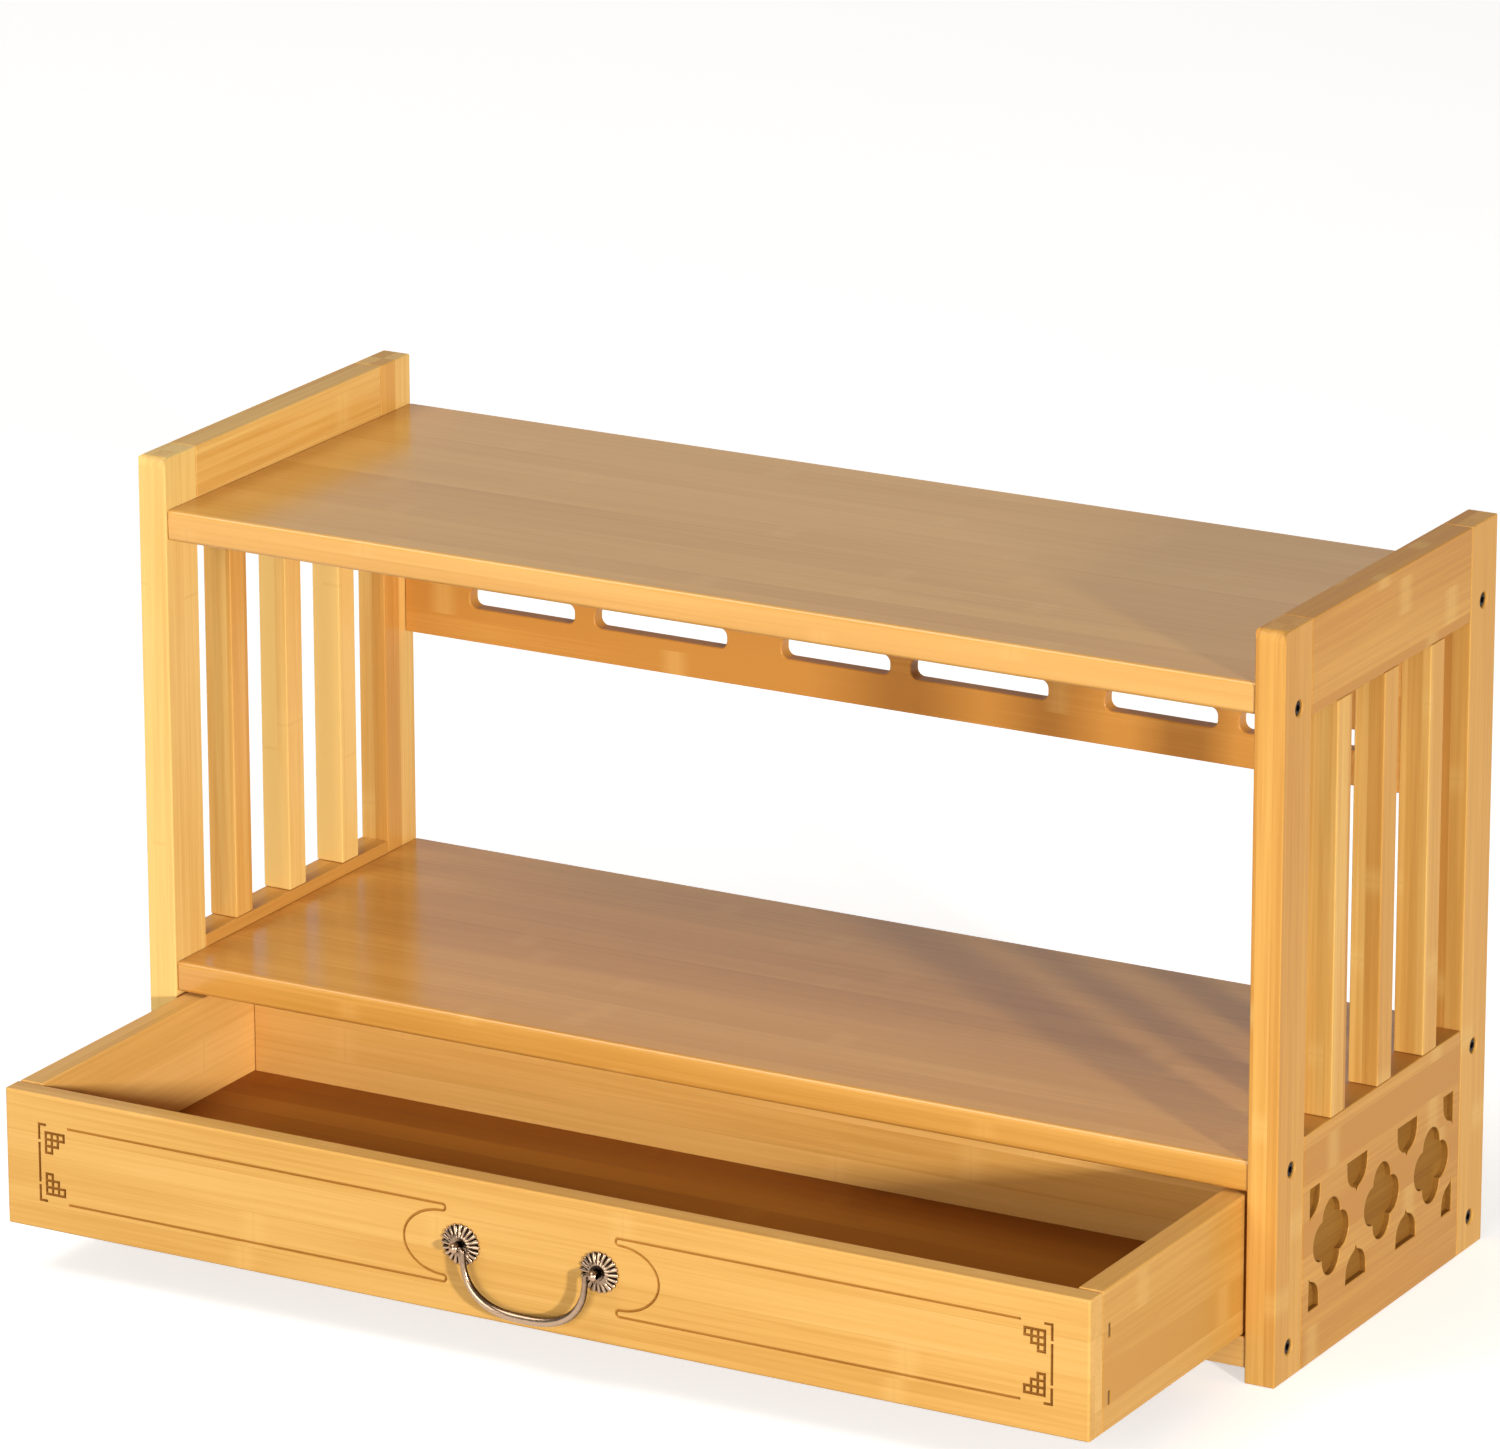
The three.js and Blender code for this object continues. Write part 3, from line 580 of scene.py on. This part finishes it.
FRAME_WOOD = bamboo("frame_bamboo", (0.55, 0.25, 0.05), (0.70, 0.37, 0.09), (0.84, 0.56, 0.19),
                    roughness=0.36, coat=0.0, gloss=0.14)
SHELF_WOOD = bamboo("shelf_bamboo", (0.58, 0.27, 0.05), (0.71, 0.37, 0.088), (0.80, 0.45, 0.13),
                    roughness=0.2, coat=0.12, gloss=0.5, contrast=0.8)
FRONT_WOOD = bamboo("drawer_bamboo", (0.58, 0.28, 0.055), (0.72, 0.40, 0.11), (0.83, 0.50, 0.17),
                    roughness=0.36, coat=0.0, gloss=0.14)
# The drawer bottom's wood is much darker than the rest of the drawer: painted shade
DRAWER_BOTTOM_SHADE_WOOD = bamboo("drawer_bottom_painted_shade_bamboo",
                    (0.22, 0.066, 0.006), (0.31, 0.102, 0.010), (0.39, 0.148, 0.018),
                    roughness=0.5, coat=0.0, gloss=0.15)
# The carved recesses' floors are much darker than the face, as painted shade; their glue seams show
# stronger
RECESS_SHADE_WOOD = bamboo("carved_bamboo_painted_shade", (0.27, 0.115, 0.020), (0.37, 0.175, 0.032), (0.46, 0.24, 0.05),
                     roughness=0.6, coat=0.0, gloss=0.05, seam=0.9)
BURNT_WOOD = bamboo("engraved_bamboo", (0.34, 0.14, 0.022), (0.46, 0.21, 0.038), (0.58, 0.29, 0.065),
                    roughness=0.6, coat=0.0, gloss=0.1, seam=0.0)
FRET_WOOD = bamboo("fret_bamboo", (0.20, 0.07, 0.010), (0.28, 0.11, 0.017), (0.38, 0.17, 0.032),
                   roughness=0.6, coat=0.0, gloss=0.1, seam=0.0)
BRONZE = metal("antique_bronze", (0.022, 0.012, 0.008), (0.46, 0.32, 0.22), 0.26)
STEEL = metal("dark_steel", (0.006, 0.005, 0.005), (0.035, 0.028, 0.026), 0.42)
WIRE = metal("dull_wire", (0.10, 0.05, 0.012), (0.26, 0.15, 0.045), 0.5)


# Boards

GRAIN_ALONG = {"X": "XZY", "Y": "YZX", "Z": "ZYX", "shelf": "XYZ"}
board_count = 0


def next_shift():
    """A shift for the next board's grain, so that no two boards look alike."""
    global board_count
    board_count += 1
    return (GRAIN_STEP * board_count, 0.0, LAYER_STEP * board_count)


def board(node, body, wood, grain, rounds=(), prisms=(), seam_at=0.0):
    """A board from its CAD node's box, with rounded edges and prisms cut out of it."""
    low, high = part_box(node)
    mesh, width = box_mesh(node, low, high, rounds)
    cutter = cutter_mesh(f"{node}_cutter", prisms) if prisms else None
    made = applied(mesh, width, cutter)
    shift = next_shift()
    set_grain(made, GRAIN_ALONG[grain], (shift[0], -seam_at, shift[2]), BOARD_TONES_AND_LIGHT.get(node, 0.0))
    return add_piece(node, made, body, [wood])


def circle(middle, radius, steps=40):
    """Points round a circle."""
    points = []
    for step in range(steps):
        turn = 2 * math.pi * step / steps
        points.append(Vector((middle[0] + radius * math.cos(turn), middle[1] + radius * math.sin(turn))))
    return points


def on_end(side, outer):
    """Places (y, z, depth) on the outer face of an end frame."""
    return lambda y, z, depth: (outer - side * depth, y, z)


def mouth(depth, rim):
    """Levels of a blind recess with a chamfered rim."""
    over = 0.1 * MM
    return [(-over, rim + over), (rim, 0.0), (depth, 0.0)]


def screw_centre(node):
    """The middle of a screw's CAD box."""
    low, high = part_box(node)
    return (low + high) / 2


def post(side, name, end):
    """A post with the screws' holes and, at the front, a rounded top edge."""
    node = f"{name}_{end}_post"
    low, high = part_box(node)
    outer = high.x if side > 0 else low.x
    centres = [screw_centre(f"{name}_{end}_{level}_screw") for level in ("top", "middle", "bottom")]
    holes = [
        (circle((centre.y, centre.z), HOLE_RADIUS), mouth(HOLE_DEPTH, HOLE_CHAMFER), on_end(side, outer))
        for centre in centres
    ]
    rounds = [("y-", "z+", POST_TOP_EDGE)] if end == "front" else []
    board(node, "cabinet", FRAME_WOOD, "Z", rounds, holes)


def quatrefoil(middle):
    """Outline of four round lobes."""
    notch = (LOBE_OFFSET + math.sqrt(2 * LOBE_RADIUS ** 2 - LOBE_OFFSET ** 2)) / 2
    reach = math.atan2(notch, notch - LOBE_OFFSET)
    outline = []
    for lobe in range(4):
        turn = lobe * math.pi / 2
        centre = middle + Vector((math.cos(turn), math.sin(turn))) * LOBE_OFFSET
        for step in range(LOBE_STEPS):
            angle = turn - reach + 2 * reach * step / LOBE_STEPS
            outline.append(centre + Vector((math.cos(angle), math.sin(angle))) * LOBE_RADIUS)
    return outline


def bezier(start, first, second, end, steps):
    """Points on a cubic curve, without its start."""
    points = []
    for step in range(1, steps + 1):
        share = step / steps
        rest = 1 - share
        points.append(
            start * rest ** 3
            + first * 3 * rest ** 2 * share
            + second * 3 * rest * share ** 2
            + end * share ** 3
        )
    return points


def cup(y, z, direction, has_left, has_right):
    """Outline of a cup that hangs from the field's edge and ends in a small point."""
    def at(across, down):
        return Vector((y + across * CUP_WIDTH / 2, z + direction * down * CUP_HEIGHT))

    def half(side):
        wall, belly, bowl = at(0.97 * side, 0.33), at(0.9 * side, 0.68), at(0.45 * side, 0.78)
        neck, tip, point = at(0.2 * side, 0.83), at(0.1 * side, 0.87), at(0, 1)
        curve = bezier(wall, belly, bowl, neck, 14)
        return [at(side, 0), wall, *curve, *bezier(neck, tip, tip, point, 6)]

    right = half(1) if has_right else [at(0, 0), at(0, 1)]
    left = half(-1)[:-1] if has_left else [at(0, 0)]
    return right + left[::-1]


def without_repeats(outline):
    """The outline with points that repeat left out."""
    before = [outline[-1], *outline[:-1]]
    return [point for point, last in zip(outline, before) if (point - last).length > TOLERANCE]


def lower_panel(side, name):
    """A lower end panel with its carved recesses, whose floors take a darker wood as painted shade."""
    node = f"{name}_lower_panel"
    low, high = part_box(node)
    outer = high.x if side > 0 else low.x
    start, end = low.y + CARVING_END_MARGIN, high.y - CARVING_END_MARGIN
    base, top = low.z + CARVING_BOTTOM_MARGIN, high.z - CARVING_TOP_MARGIN
    reach = LOBE_OFFSET + LOBE_RADIUS
    count = math.floor((end - start - 2 * reach) / QUATREFOIL_PITCH) + 1
    first = (start + end - (count - 1) * QUATREFOIL_PITCH) / 2
    middles = [Vector((first + index * QUATREFOIL_PITCH, (base + top) / 2)) for index in range(count)]
    outlines = [quatrefoil(middle) for middle in middles]
    for index in range(count + 1):
        y = min(max(first + (index - 0.5) * QUATREFOIL_PITCH, start), end)
        outlines.append(cup(y, base, 1, index > 0, index < count))
        outlines.append(cup(y, top, -1, index > 0, index < count))
    levels = mouth(CARVING_DEPTH, CARVING_RIM)
    prisms = [(without_repeats(outline), levels, on_end(side, outer)) for outline in outlines]
    piece = board(node, "cabinet", FRAME_WOOD, "Y", (), prisms, seam_at=0.5 * MM)
    # Faces on the recess floors take the darker wood, as painted shade
    piece.data.materials.append(RECESS_SHADE_WOOD)
    floor_x = outer - side * CARVING_DEPTH
    for face in piece.data.polygons:
        inside = abs(face.center.x - floor_x) < CARVING_DEPTH - 1.5 * CARVING_RIM
        clear = start - MM < face.center.y < end + MM and base - MM < face.center.z < top + MM
        if inside and clear:
            face.material_index = 1


def rounded_rectangle(left, low, right, high, radius, steps=8):
    """Outline of a rectangle with round corners."""
    corners = [(right - radius, low + radius, -90), (right - radius, high - radius, 0),
               (left + radius, high - radius, 90), (left + radius, low + radius, 180)]
    outline = []
    for x, y, start in corners:
        for step in range(steps + 1):
            turn = math.radians(start + 90 * step / steps)
            outline.append(Vector((x + radius * math.cos(turn), y + radius * math.sin(turn))))
    return outline


def back_board():
    """The back board with its row of slots."""
    low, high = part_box("back_board")
    thickness = high.y - low.y
    group = SHORT_SLOT + SLOT_BRIDGE + LONG_SLOT
    pitch = group + SLOT_GROUP_GAP
    count = math.floor((high.x - low.x - 2 * SLOT_END_MARGIN + SLOT_GROUP_GAP) / pitch)
    over = 0.5 * MM
    levels = [
        (-over, SLOT_RIM + over),
        (SLOT_RIM, 0.0),
        (thickness - SLOT_RIM, 0.0),
        (thickness + over, SLOT_RIM + over),
    ]
    prisms = []
    base = low.z + SLOT_LIFT
    for index in range(count):
        start = (index - (count - 1) / 2) * pitch - group / 2
        for left, right in ((start, start + SHORT_SLOT), (start + group - LONG_SLOT, start + group)):
            outline = rounded_rectangle(left, base, right, base + SLOT_HEIGHT, SLOT_CORNER)
            prisms.append((outline, levels, lambda x, z, depth: (x, low.y + depth, z)))
    board("back_board", "cabinet", FRAME_WOOD, "X", (), prisms)


# Drawer

def ribbon(points, width):
    """Outline of a strip of even width along a line of points."""
    left, right = [], []
    for index, point in enumerate(points):
        before, after = points[max(index - 1, 0)], points[min(index + 1, len(points) - 1)]
        into = (point - before).normalized() if index else (after - point).normalized()
        out = (after - point).normalized() if index < len(points) - 1 else into
        first, second = Vector((-into.y, into.x)), Vector((-out.y, out.x))
        step = (first + second) * (width / 2) / (1 + first.dot(second))
        left.append(point + step)
        right.append(point - step)
    return right + left[::-1]


def field_line(start, end, half):
    """Middle line of one engraved field, from the handle's bracket out to both corners."""
    points = [Vector((end, half))]

    def add_arc(z, reach_x, reach_z, turned, steps, skip=0):
        for step in range(skip, steps + 1):
            turn = math.pi / 2 + turned * step / steps
            points.append(Vector((start + reach_x * math.cos(turn), z + reach_z * math.sin(turn))))

    hook_steps, bow_steps = 12, 48
    add_arc(half - HOOK_RADIUS, HOOK_RADIUS, HOOK_RADIUS, math.pi, hook_steps)
    add_arc(0.0, BRACKET_REACH, half - 2 * HOOK_RADIUS, -math.pi, bow_steps, skip=1)
    add_arc(HOOK_RADIUS - half, HOOK_RADIUS, HOOK_RADIUS, math.pi, hook_steps, skip=1)
    points.append(Vector((end, -half)))
    return points


def corner_lines():
    """Straight lines of one engraved corner, measured from the corner, as (start, end, width)."""
    lines = [((0, 0), (0, CORNER_LINE), LINE_WIDTH), ((0, 0), (CORNER_TICK, 0), LINE_WIDTH)]
    for step in range(FRET_STEPS + 1):
        place = FRET_OFFSET + step * FRET_CELL
        reach = FRET_OFFSET + FRET_CELL * min(FRET_STEPS, FRET_STEPS + 1 - step)
        lines.append(((place, FRET_OFFSET), (place, reach), FRET_WIDTH))
        lines.append(((FRET_OFFSET, place), (reach, place), FRET_WIDTH))
    return lines


def straight_outline(start, end, width):
    """Outline of a straight line, square at its ends."""
    half = width / 2
    left, right = min(start[0], end[0]) - half, max(start[0], end[0]) + half
    low, high = min(start[1], end[1]) - half, max(start[1], end[1]) + half
    return [Vector((left, low)), Vector((right, low)), Vector((right, high)), Vector((left, high))]


def engraving(low, high):
    """All engraved lines of the drawer front, as prisms."""
    middle, half = (low.z + high.z) / 2, (high.z - low.z) / 2 - EDGE_INSET
    knob = screw_centre("handle_right_knob").x
    corner = high.x - END_INSET
    over = 0.3 * MM
    levels = [(-over, 0.0), (0.25 * LINE_DEPTH, 0.0), (LINE_DEPTH, -LINE_TAPER)]
    line = field_line(knob + BRACKET_GAP, corner - TOP_LINE_INSET, half)
    break_end = half - CORNER_LINE - CORNER_GAP
    outlines = []
    for side in (-1, 1):
        outlines.append(ribbon([Vector((side * point.x, point.y)) for point in line], LINE_WIDTH))
        bar_ends = ((side * corner, -break_end), (side * corner, break_end))
        outlines.append(straight_outline(*bar_ends, LINE_WIDTH))
        for up in (-1, 1):
            for start, end, width in corner_lines():
                ends = [(side * (corner - inward), up * (half - down)) for inward, down in (start, end)]
                outlines.append(straight_outline(*ends, width))

    def on_front(x, z, depth):
        return (x, low.y + depth, z + middle)

    return [(outline, levels, on_front) for outline in outlines]


def drawer_front():
    """The drawer's front board with its engraving."""
    low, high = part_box("drawer_front")
    rounds = [
        ("y-", "z+", DRAWER_EDGE),
        ("y-", "z-", DRAWER_EDGE),
        ("y-", "x-", DRAWER_EDGE),
        ("y-", "x+", DRAWER_EDGE),
        ("y+", "z+", DRAWER_INNER_EDGE),
    ]
    prisms = engraving(low, high)
    piece = board("drawer_front", "drawer", FRONT_WOOD, "X", rounds, prisms)
    piece.data.materials.append(BURNT_WOOD)
    piece.data.materials.append(FRET_WOOD)
    inset = 8 * MM
    fret_reach = FRET_OFFSET + FRET_STEPS * FRET_CELL + FRET_WIDTH
    fret_start = high.x - END_INSET - fret_reach
    for face in piece.data.polygons:
        sunk = 0.02 * MM < face.center.y - low.y < LINE_DEPTH + 0.1 * MM
        within = low.x + inset < face.center.x < high.x - inset
        clear = within and low.z + inset < face.center.z < high.z - inset
        if sunk and clear:
            face.material_index = 2 if abs(face.center.x) > fret_start else 1


def drawer_side(side, name):
    """A drawer side with the slots of its staples."""
    node = f"drawer_{name}_side"
    low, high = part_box(node)
    outer = high.x if side > 0 else low.x
    prisms = []
    for index in (1, 2):
        near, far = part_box(f"drawer_{name}_staple_{index}")
        outline = rounded_rectangle(near.y - STAPLE_PLAY, near.z - STAPLE_PLAY, far.y + STAPLE_PLAY,
                                    far.z + STAPLE_PLAY, STAPLE_SLOT_CORNER, steps=4)
        prisms.append((outline, mouth(STAPLE_SLOT_DEPTH, STAPLE_SLOT_RIM), on_end(side, outer)))
    rounds = [("z+", "x+", DRAWER_SIDE_EDGE), ("z+", "x-", DRAWER_SIDE_EDGE)]
    board(node, "drawer", FRONT_WOOD, "Y", rounds, prisms)


# Screws, staples and handle

def set_relief(mesh, relief_of):
    """Stores how far each point stands out, from 0 in the hollows to 1 on the ridges."""
    relief = mesh.attributes.new("relief", "FLOAT", "POINT")
    for vertex in mesh.vertices:
        relief.data[vertex.index].value = relief_of(vertex.co)


def screw(side, node):
    """A sunk screw head, slightly domed, with a six-sided socket."""
    low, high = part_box(node)
    centre = (low + high) / 2
    outer = high.x if side > 0 else low.x
    foot = high.x - low.x
    profile = [(0.0, foot), (SCREW_RADIUS, foot), (SCREW_RADIUS, SCREW_DOME)]
    profile += [
        (SCREW_RADIUS * math.cos(turn), SCREW_DOME - SCREW_DOME * math.sin(turn))
        for turn in [math.radians(15 * step) for step in range(1, 6)]
    ]
    profile.append((0.0, 0.0))
    place = on_end(side, outer)

    def round_middle(y, z, depth):
        return place(centre.y + y, centre.z + z, depth)

    mesh = turned_mesh(node, profile, SCREW_SEGMENTS, round_middle)
    socket = (circle((centre.y, centre.z), SOCKET_RADIUS, 6), mouth(SOCKET_DEPTH, SOCKET_RIM), place)
    made = applied(mesh, cutter=cutter_mesh("socket", [socket]))
    set_relief(made, lambda co: 1.0 - min(1.0, abs(co.x - outer) / SOCKET_DEPTH))
    add_piece(node, made, "cabinet", [STEEL])


def staple(node):
    """A staple's crown, rounded along its wire."""
    low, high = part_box(node)
    mesh, width = box_mesh(node, low, high, small=STAPLE_EDGE)
    made = applied(mesh, width)
    set_relief(made, lambda co: 0.6)
    add_piece(node, made, "drawer", [WIRE])


def rosette(name):
    """A fluted rosette: petals with round backs and deep gaps, and a small domed middle."""
    node = f"handle_{name}_rosette"
    low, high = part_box(node)
    centre = (low + high) / 2
    steps, rings = PETALS * PETAL_STEPS, ROSETTE_RINGS
    hole = STEM_RADIUS + STEM_PLAY
    fall, crown, swell_place, swell_width = 0.62, 0.86, 0.3, 0.12
    stem_shadow_relief, face_relief, gap_relief = 0.05, 0.62, 1.4
    points, faces, ring_starts, reliefs = [], [], [], []
    for ring in range(rings + 3):
        ring_starts.append(len(points))
        share = min(ring, rings) / rings
        for step in range(steps):
            turn = 2 * math.pi * step / steps
            ridge = abs(math.cos(PETALS * turn / 2)) ** PETAL_FULLNESS
            edge = ROSETTE_RADIUS * (1 - PETAL_NOTCH * (1 - ridge))
            radius = hole + (edge - hole) * share
            ramp = clamped((radius / ROSETTE_RADIUS - GAP_START) / GAP_RAMP)
            dome = ROSETTE_RISE * (1 - fall * share ** 3)
            swell = ROSETTE_SWELL * math.exp(-((share - swell_place) / swell_width) ** 2)
            rise = min(ROSETTE_RISE, dome * crown + swell)
            rise -= GAP_DEPTH * ramp * (1 - ridge) * (1 - 0.35 * share)
            # Round the stem the bronze is painted dark, as the stem's painted shadow
            in_stem_shadow = radius <= ROSETTE_STEM_SHADOW * ROSETTE_RADIUS
            standing = face_relief + (1 - face_relief) * ramp - gap_relief * ramp * (1 - ridge)
            reliefs.append(stem_shadow_relief if in_stem_shadow else standing)
            if ring == rings:
                rise *= ROSETTE_RIM
            if ring > rings:
                rise = 0.0
            if ring == rings + 2:
                radius = hole
            x = centre.x + radius * math.cos(turn)
            z = centre.z + radius * math.sin(turn)
            points.append((x, high.y - rise, z))
    join_rings(faces, ring_starts, steps, len(points))
    last = ring_starts[-1]
    for step in range(steps):
        after = (step + 1) % steps
        faces.append((last + step, step, after, last + after))
    mesh = mesh_of(node, points, faces)
    relief = mesh.attributes.new("relief", "FLOAT", "POINT")
    relief.data.foreach_set("value", reliefs)
    add_piece(node, mesh, "drawer", [BRONZE], sharp=60.0)


def knob(name):
    """A round knob on its stem, bored for the bail's pin, with a small collar."""
    node = f"handle_{name}_knob"
    low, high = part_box(node)
    centre = Vector(((low.x + high.x) / 2, low.y + KNOB_RADIUS, (low.z + high.z) / 2))
    collar = STEM_RADIUS + COLLAR_STEP
    neck = math.pi - math.asin(collar / KNOB_RADIUS)
    foot = high.y - centre.y
    profile = [(0.0, foot), (STEM_RADIUS, foot), (STEM_RADIUS, COLLAR_END), (collar, COLLAR_START)]
    steps = KNOB_SEGMENTS // 2
    for step in range(steps):
        turn = neck * (1 - step / steps)
        profile.append((KNOB_RADIUS * math.sin(turn), -KNOB_RADIUS * math.cos(turn)))
    profile.append((0.0, -KNOB_RADIUS))

    def on_stem(x, z, depth):
        return (centre.x + x, centre.y + depth, centre.z + z)

    def across(y, z, depth):
        return (centre.x + depth, y, z)

    mesh = turned_mesh(node, profile, KNOB_SEGMENTS, on_stem)
    bore_levels = [(-2 * KNOB_RADIUS, 0.0), (2 * KNOB_RADIUS, 0.0)]
    bore = (circle((centre.y, centre.z), PIN_RADIUS + PIN_PLAY, 32), bore_levels, across)
    made = applied(mesh, cutter=cutter_mesh("bore", [bore]))
    set_relief(made, lambda co: 0.15 + 0.85 * clamped((centre.y + 0.5 * MM - co.y) / KNOB_RADIUS))
    add_piece(node, made, "drawer", [BRONZE], sharp=50.0)


def bail_line(half_knobs, drop):
    """Middle line of the bail (x, z, radius), from one pin end to the other."""
    half = half_knobs - KNOB_RADIUS - BAIL_PLAY - BAIL_END_RADIUS
    bend_start = half + BAIL_BEND
    pin_end = half_knobs + KNOB_RADIUS / 2
    left = [
        (-pin_end, 0.0, PIN_RADIUS * PIN_END_SHARE),
        (-pin_end + PIN_CHAMFER, 0.0, PIN_RADIUS),
        (-bend_start, 0.0, PIN_RADIUS),
    ]
    bend_steps, steps = 10, 110
    for step in range(1, bend_steps + 1):
        turn = math.pi / 2 * step / bend_steps
        radius = PIN_RADIUS + (BAIL_END_RADIUS - PIN_RADIUS) * step / bend_steps
        x = BAIL_BEND * math.sin(turn) - bend_start
        z = BAIL_BEND * math.cos(turn) - BAIL_BEND
        left.append((x, z, radius))
    middle = []
    for step in range(1, steps):
        turn = math.pi * step / steps
        swell = math.sin(turn)
        radius = BAIL_END_RADIUS + (BAIL_MIDDLE_RADIUS - BAIL_END_RADIUS) * swell
        across = math.copysign(abs(math.cos(turn)) ** BAIL_FULLNESS, math.cos(turn))
        middle.append((-half * across, -BAIL_BEND - (drop - BAIL_BEND) * swell ** BAIL_FULLNESS, radius))
    return left + middle + [(-x, z, radius) for x, z, radius in reversed(left)]


def bail():
    """The bail: a round rod, thicker in the middle."""
    low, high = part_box("handle_bail")
    knob_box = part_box("handle_right_knob")
    pivot = Vector((0.0, (low.y + high.y) / 2, high.z - PIN_RADIUS))
    drop = pivot.z - low.z - BAIL_MIDDLE_RADIUS
    line = bail_line((knob_box[0].x + knob_box[1].x) / 2, drop)
    sides = 28
    points, faces, rings = [], [], []
    for index, (x, z, radius) in enumerate(line):
        before, after = line[max(index - 1, 0)], line[min(index + 1, len(line) - 1)]
        along = Vector((after[0] - before[0], after[1] - before[1])).normalized()
        rings.append(len(points))
        for corner in range(sides):
            turn = 2 * math.pi * corner / sides
            across = radius * math.cos(turn)
            place = Vector((x - along.y * across, radius * math.sin(turn), z + along.x * across))
            points.append(pivot + place)
    join_rings(faces, rings, sides, len(points))
    faces.append(tuple(range(sides)))
    faces.append(tuple(rings[-1] + corner for corner in range(sides)))
    mesh = mesh_of("handle_bail", points, faces)
    set_relief(mesh, lambda co: 0.1 + 0.9 * clamped((pivot.y - co.y) / BAIL_MIDDLE_RADIUS))
    add_piece("handle_bail", mesh, "bail", [BRONZE], sharp=60.0)


# The whole cabinet

def end_frame(side, name):
    """One end frame with its screws."""
    for end in ("front", "rear"):
        post(side, name, end)
        for level in ("top", "middle", "bottom"):
            screw(side, f"{name}_{end}_{level}_screw")
    board(f"{name}_top_rail", "cabinet", FRAME_WOOD, "Y")
    lower_panel(side, name)
    for index in (1, 2, 3):
        board(f"{name}_slat_{index}", "cabinet", FRAME_WOOD, "Z")


def cabinet():
    """Both end frames, the shelves, the back board and the bottom rails."""
    end_frame(-1, "left")
    end_frame(1, "right")
    for node in ("upper_shelf", "lower_shelf"):
        rounds = [("y-", "z+", SHELF_EDGE), ("y-", "z-", SHELF_EDGE)]
        board(node, "cabinet", SHELF_WOOD, "shelf", rounds)
    back_board()
    for node in ("front_bottom_rail", "rear_bottom_rail"):
        board(node, "cabinet", SHELF_WOOD, "X")


def drawer():
    """The drawer's boards, staples and handle."""
    drawer_front()
    board("drawer_back", "drawer", FRONT_WOOD, "X")
    # The bottom's darker wood is painted shade
    board("drawer_bottom", "drawer", DRAWER_BOTTOM_SHADE_WOOD, "shelf")
    for side, name in ((-1, "left"), (1, "right")):
        drawer_side(side, name)
        for index in (1, 2):
            staple(f"drawer_{name}_staple_{index}")
        rosette(name)
        knob(name)
    bail()


# Stage, lights and camera

def add_camera():
    """The camera at the photograph's place and angle."""
    data = bpy.data.cameras.new("camera")
    data.lens = LENS
    data.sensor_width = SENSOR
    data.sensor_fit = "HORIZONTAL"
    camera = bpy.data.objects.new("camera", data)
    bpy.context.scene.collection.objects.link(camera)
    turned = LOOK.to_track_quat("-Z", "Y").to_matrix() @ Matrix.Rotation(ROLL, 3, "Z")
    camera.matrix_world = Matrix.Translation(EYE) @ turned.to_4x4()
    bpy.context.scene.camera = camera


def add_floor():
    """The pale floor."""
    reach = FLOOR_REACH
    corners = [(-reach, -reach, 0), (reach, -reach, 0), (reach, reach, 0), (-reach, reach, 0)]
    mesh = mesh_of("floor", corners, [(0, 1, 2, 3)])
    mesh.materials.append(floor_paper())
    floor = bpy.data.objects.new("floor", mesh)
    floor.location.z = -FLOOR_DROP
    floor.visible_diffuse = False
    bpy.context.scene.collection.objects.link(floor)


def add_light(name, azimuth, elevation, distance, size, power, colour):
    """A square soft light that looks at the cabinet. Azimuth 0 is in front, 90 to the right."""
    turn, rise = math.radians(azimuth), math.radians(elevation)
    away = Vector((math.sin(turn) * math.cos(rise), -math.cos(turn) * math.cos(rise), math.sin(rise)))
    data = bpy.data.lights.new(name, "AREA")
    data.shape = "SQUARE"
    data.size = size
    data.energy = power
    data.color = colour
    lamp = bpy.data.objects.new(name, data)
    lamp.location = LIGHT_TARGET + away * distance
    lamp.rotation_mode = "QUATERNION"
    lamp.rotation_quaternion = away.to_track_quat("Z", "Y")
    bpy.context.scene.collection.objects.link(lamp)


def add_world(strength, colour):
    """Even light from all round."""
    world = bpy.data.worlds.new("studio")
    world.use_nodes = True
    background = world.node_tree.nodes["Background"]
    background.inputs["Color"].default_value = (*colour, 1.0)
    background.inputs["Strength"].default_value = strength
    bpy.context.scene.world = world


add_camera()
cabinet()
drawer()
add_floor()
add_world(WORLD_STRENGTH, WORLD_COLOUR)
for light in LIGHTS:
    add_light(*light)
bpy.context.scene.view_settings.view_transform = "Standard"
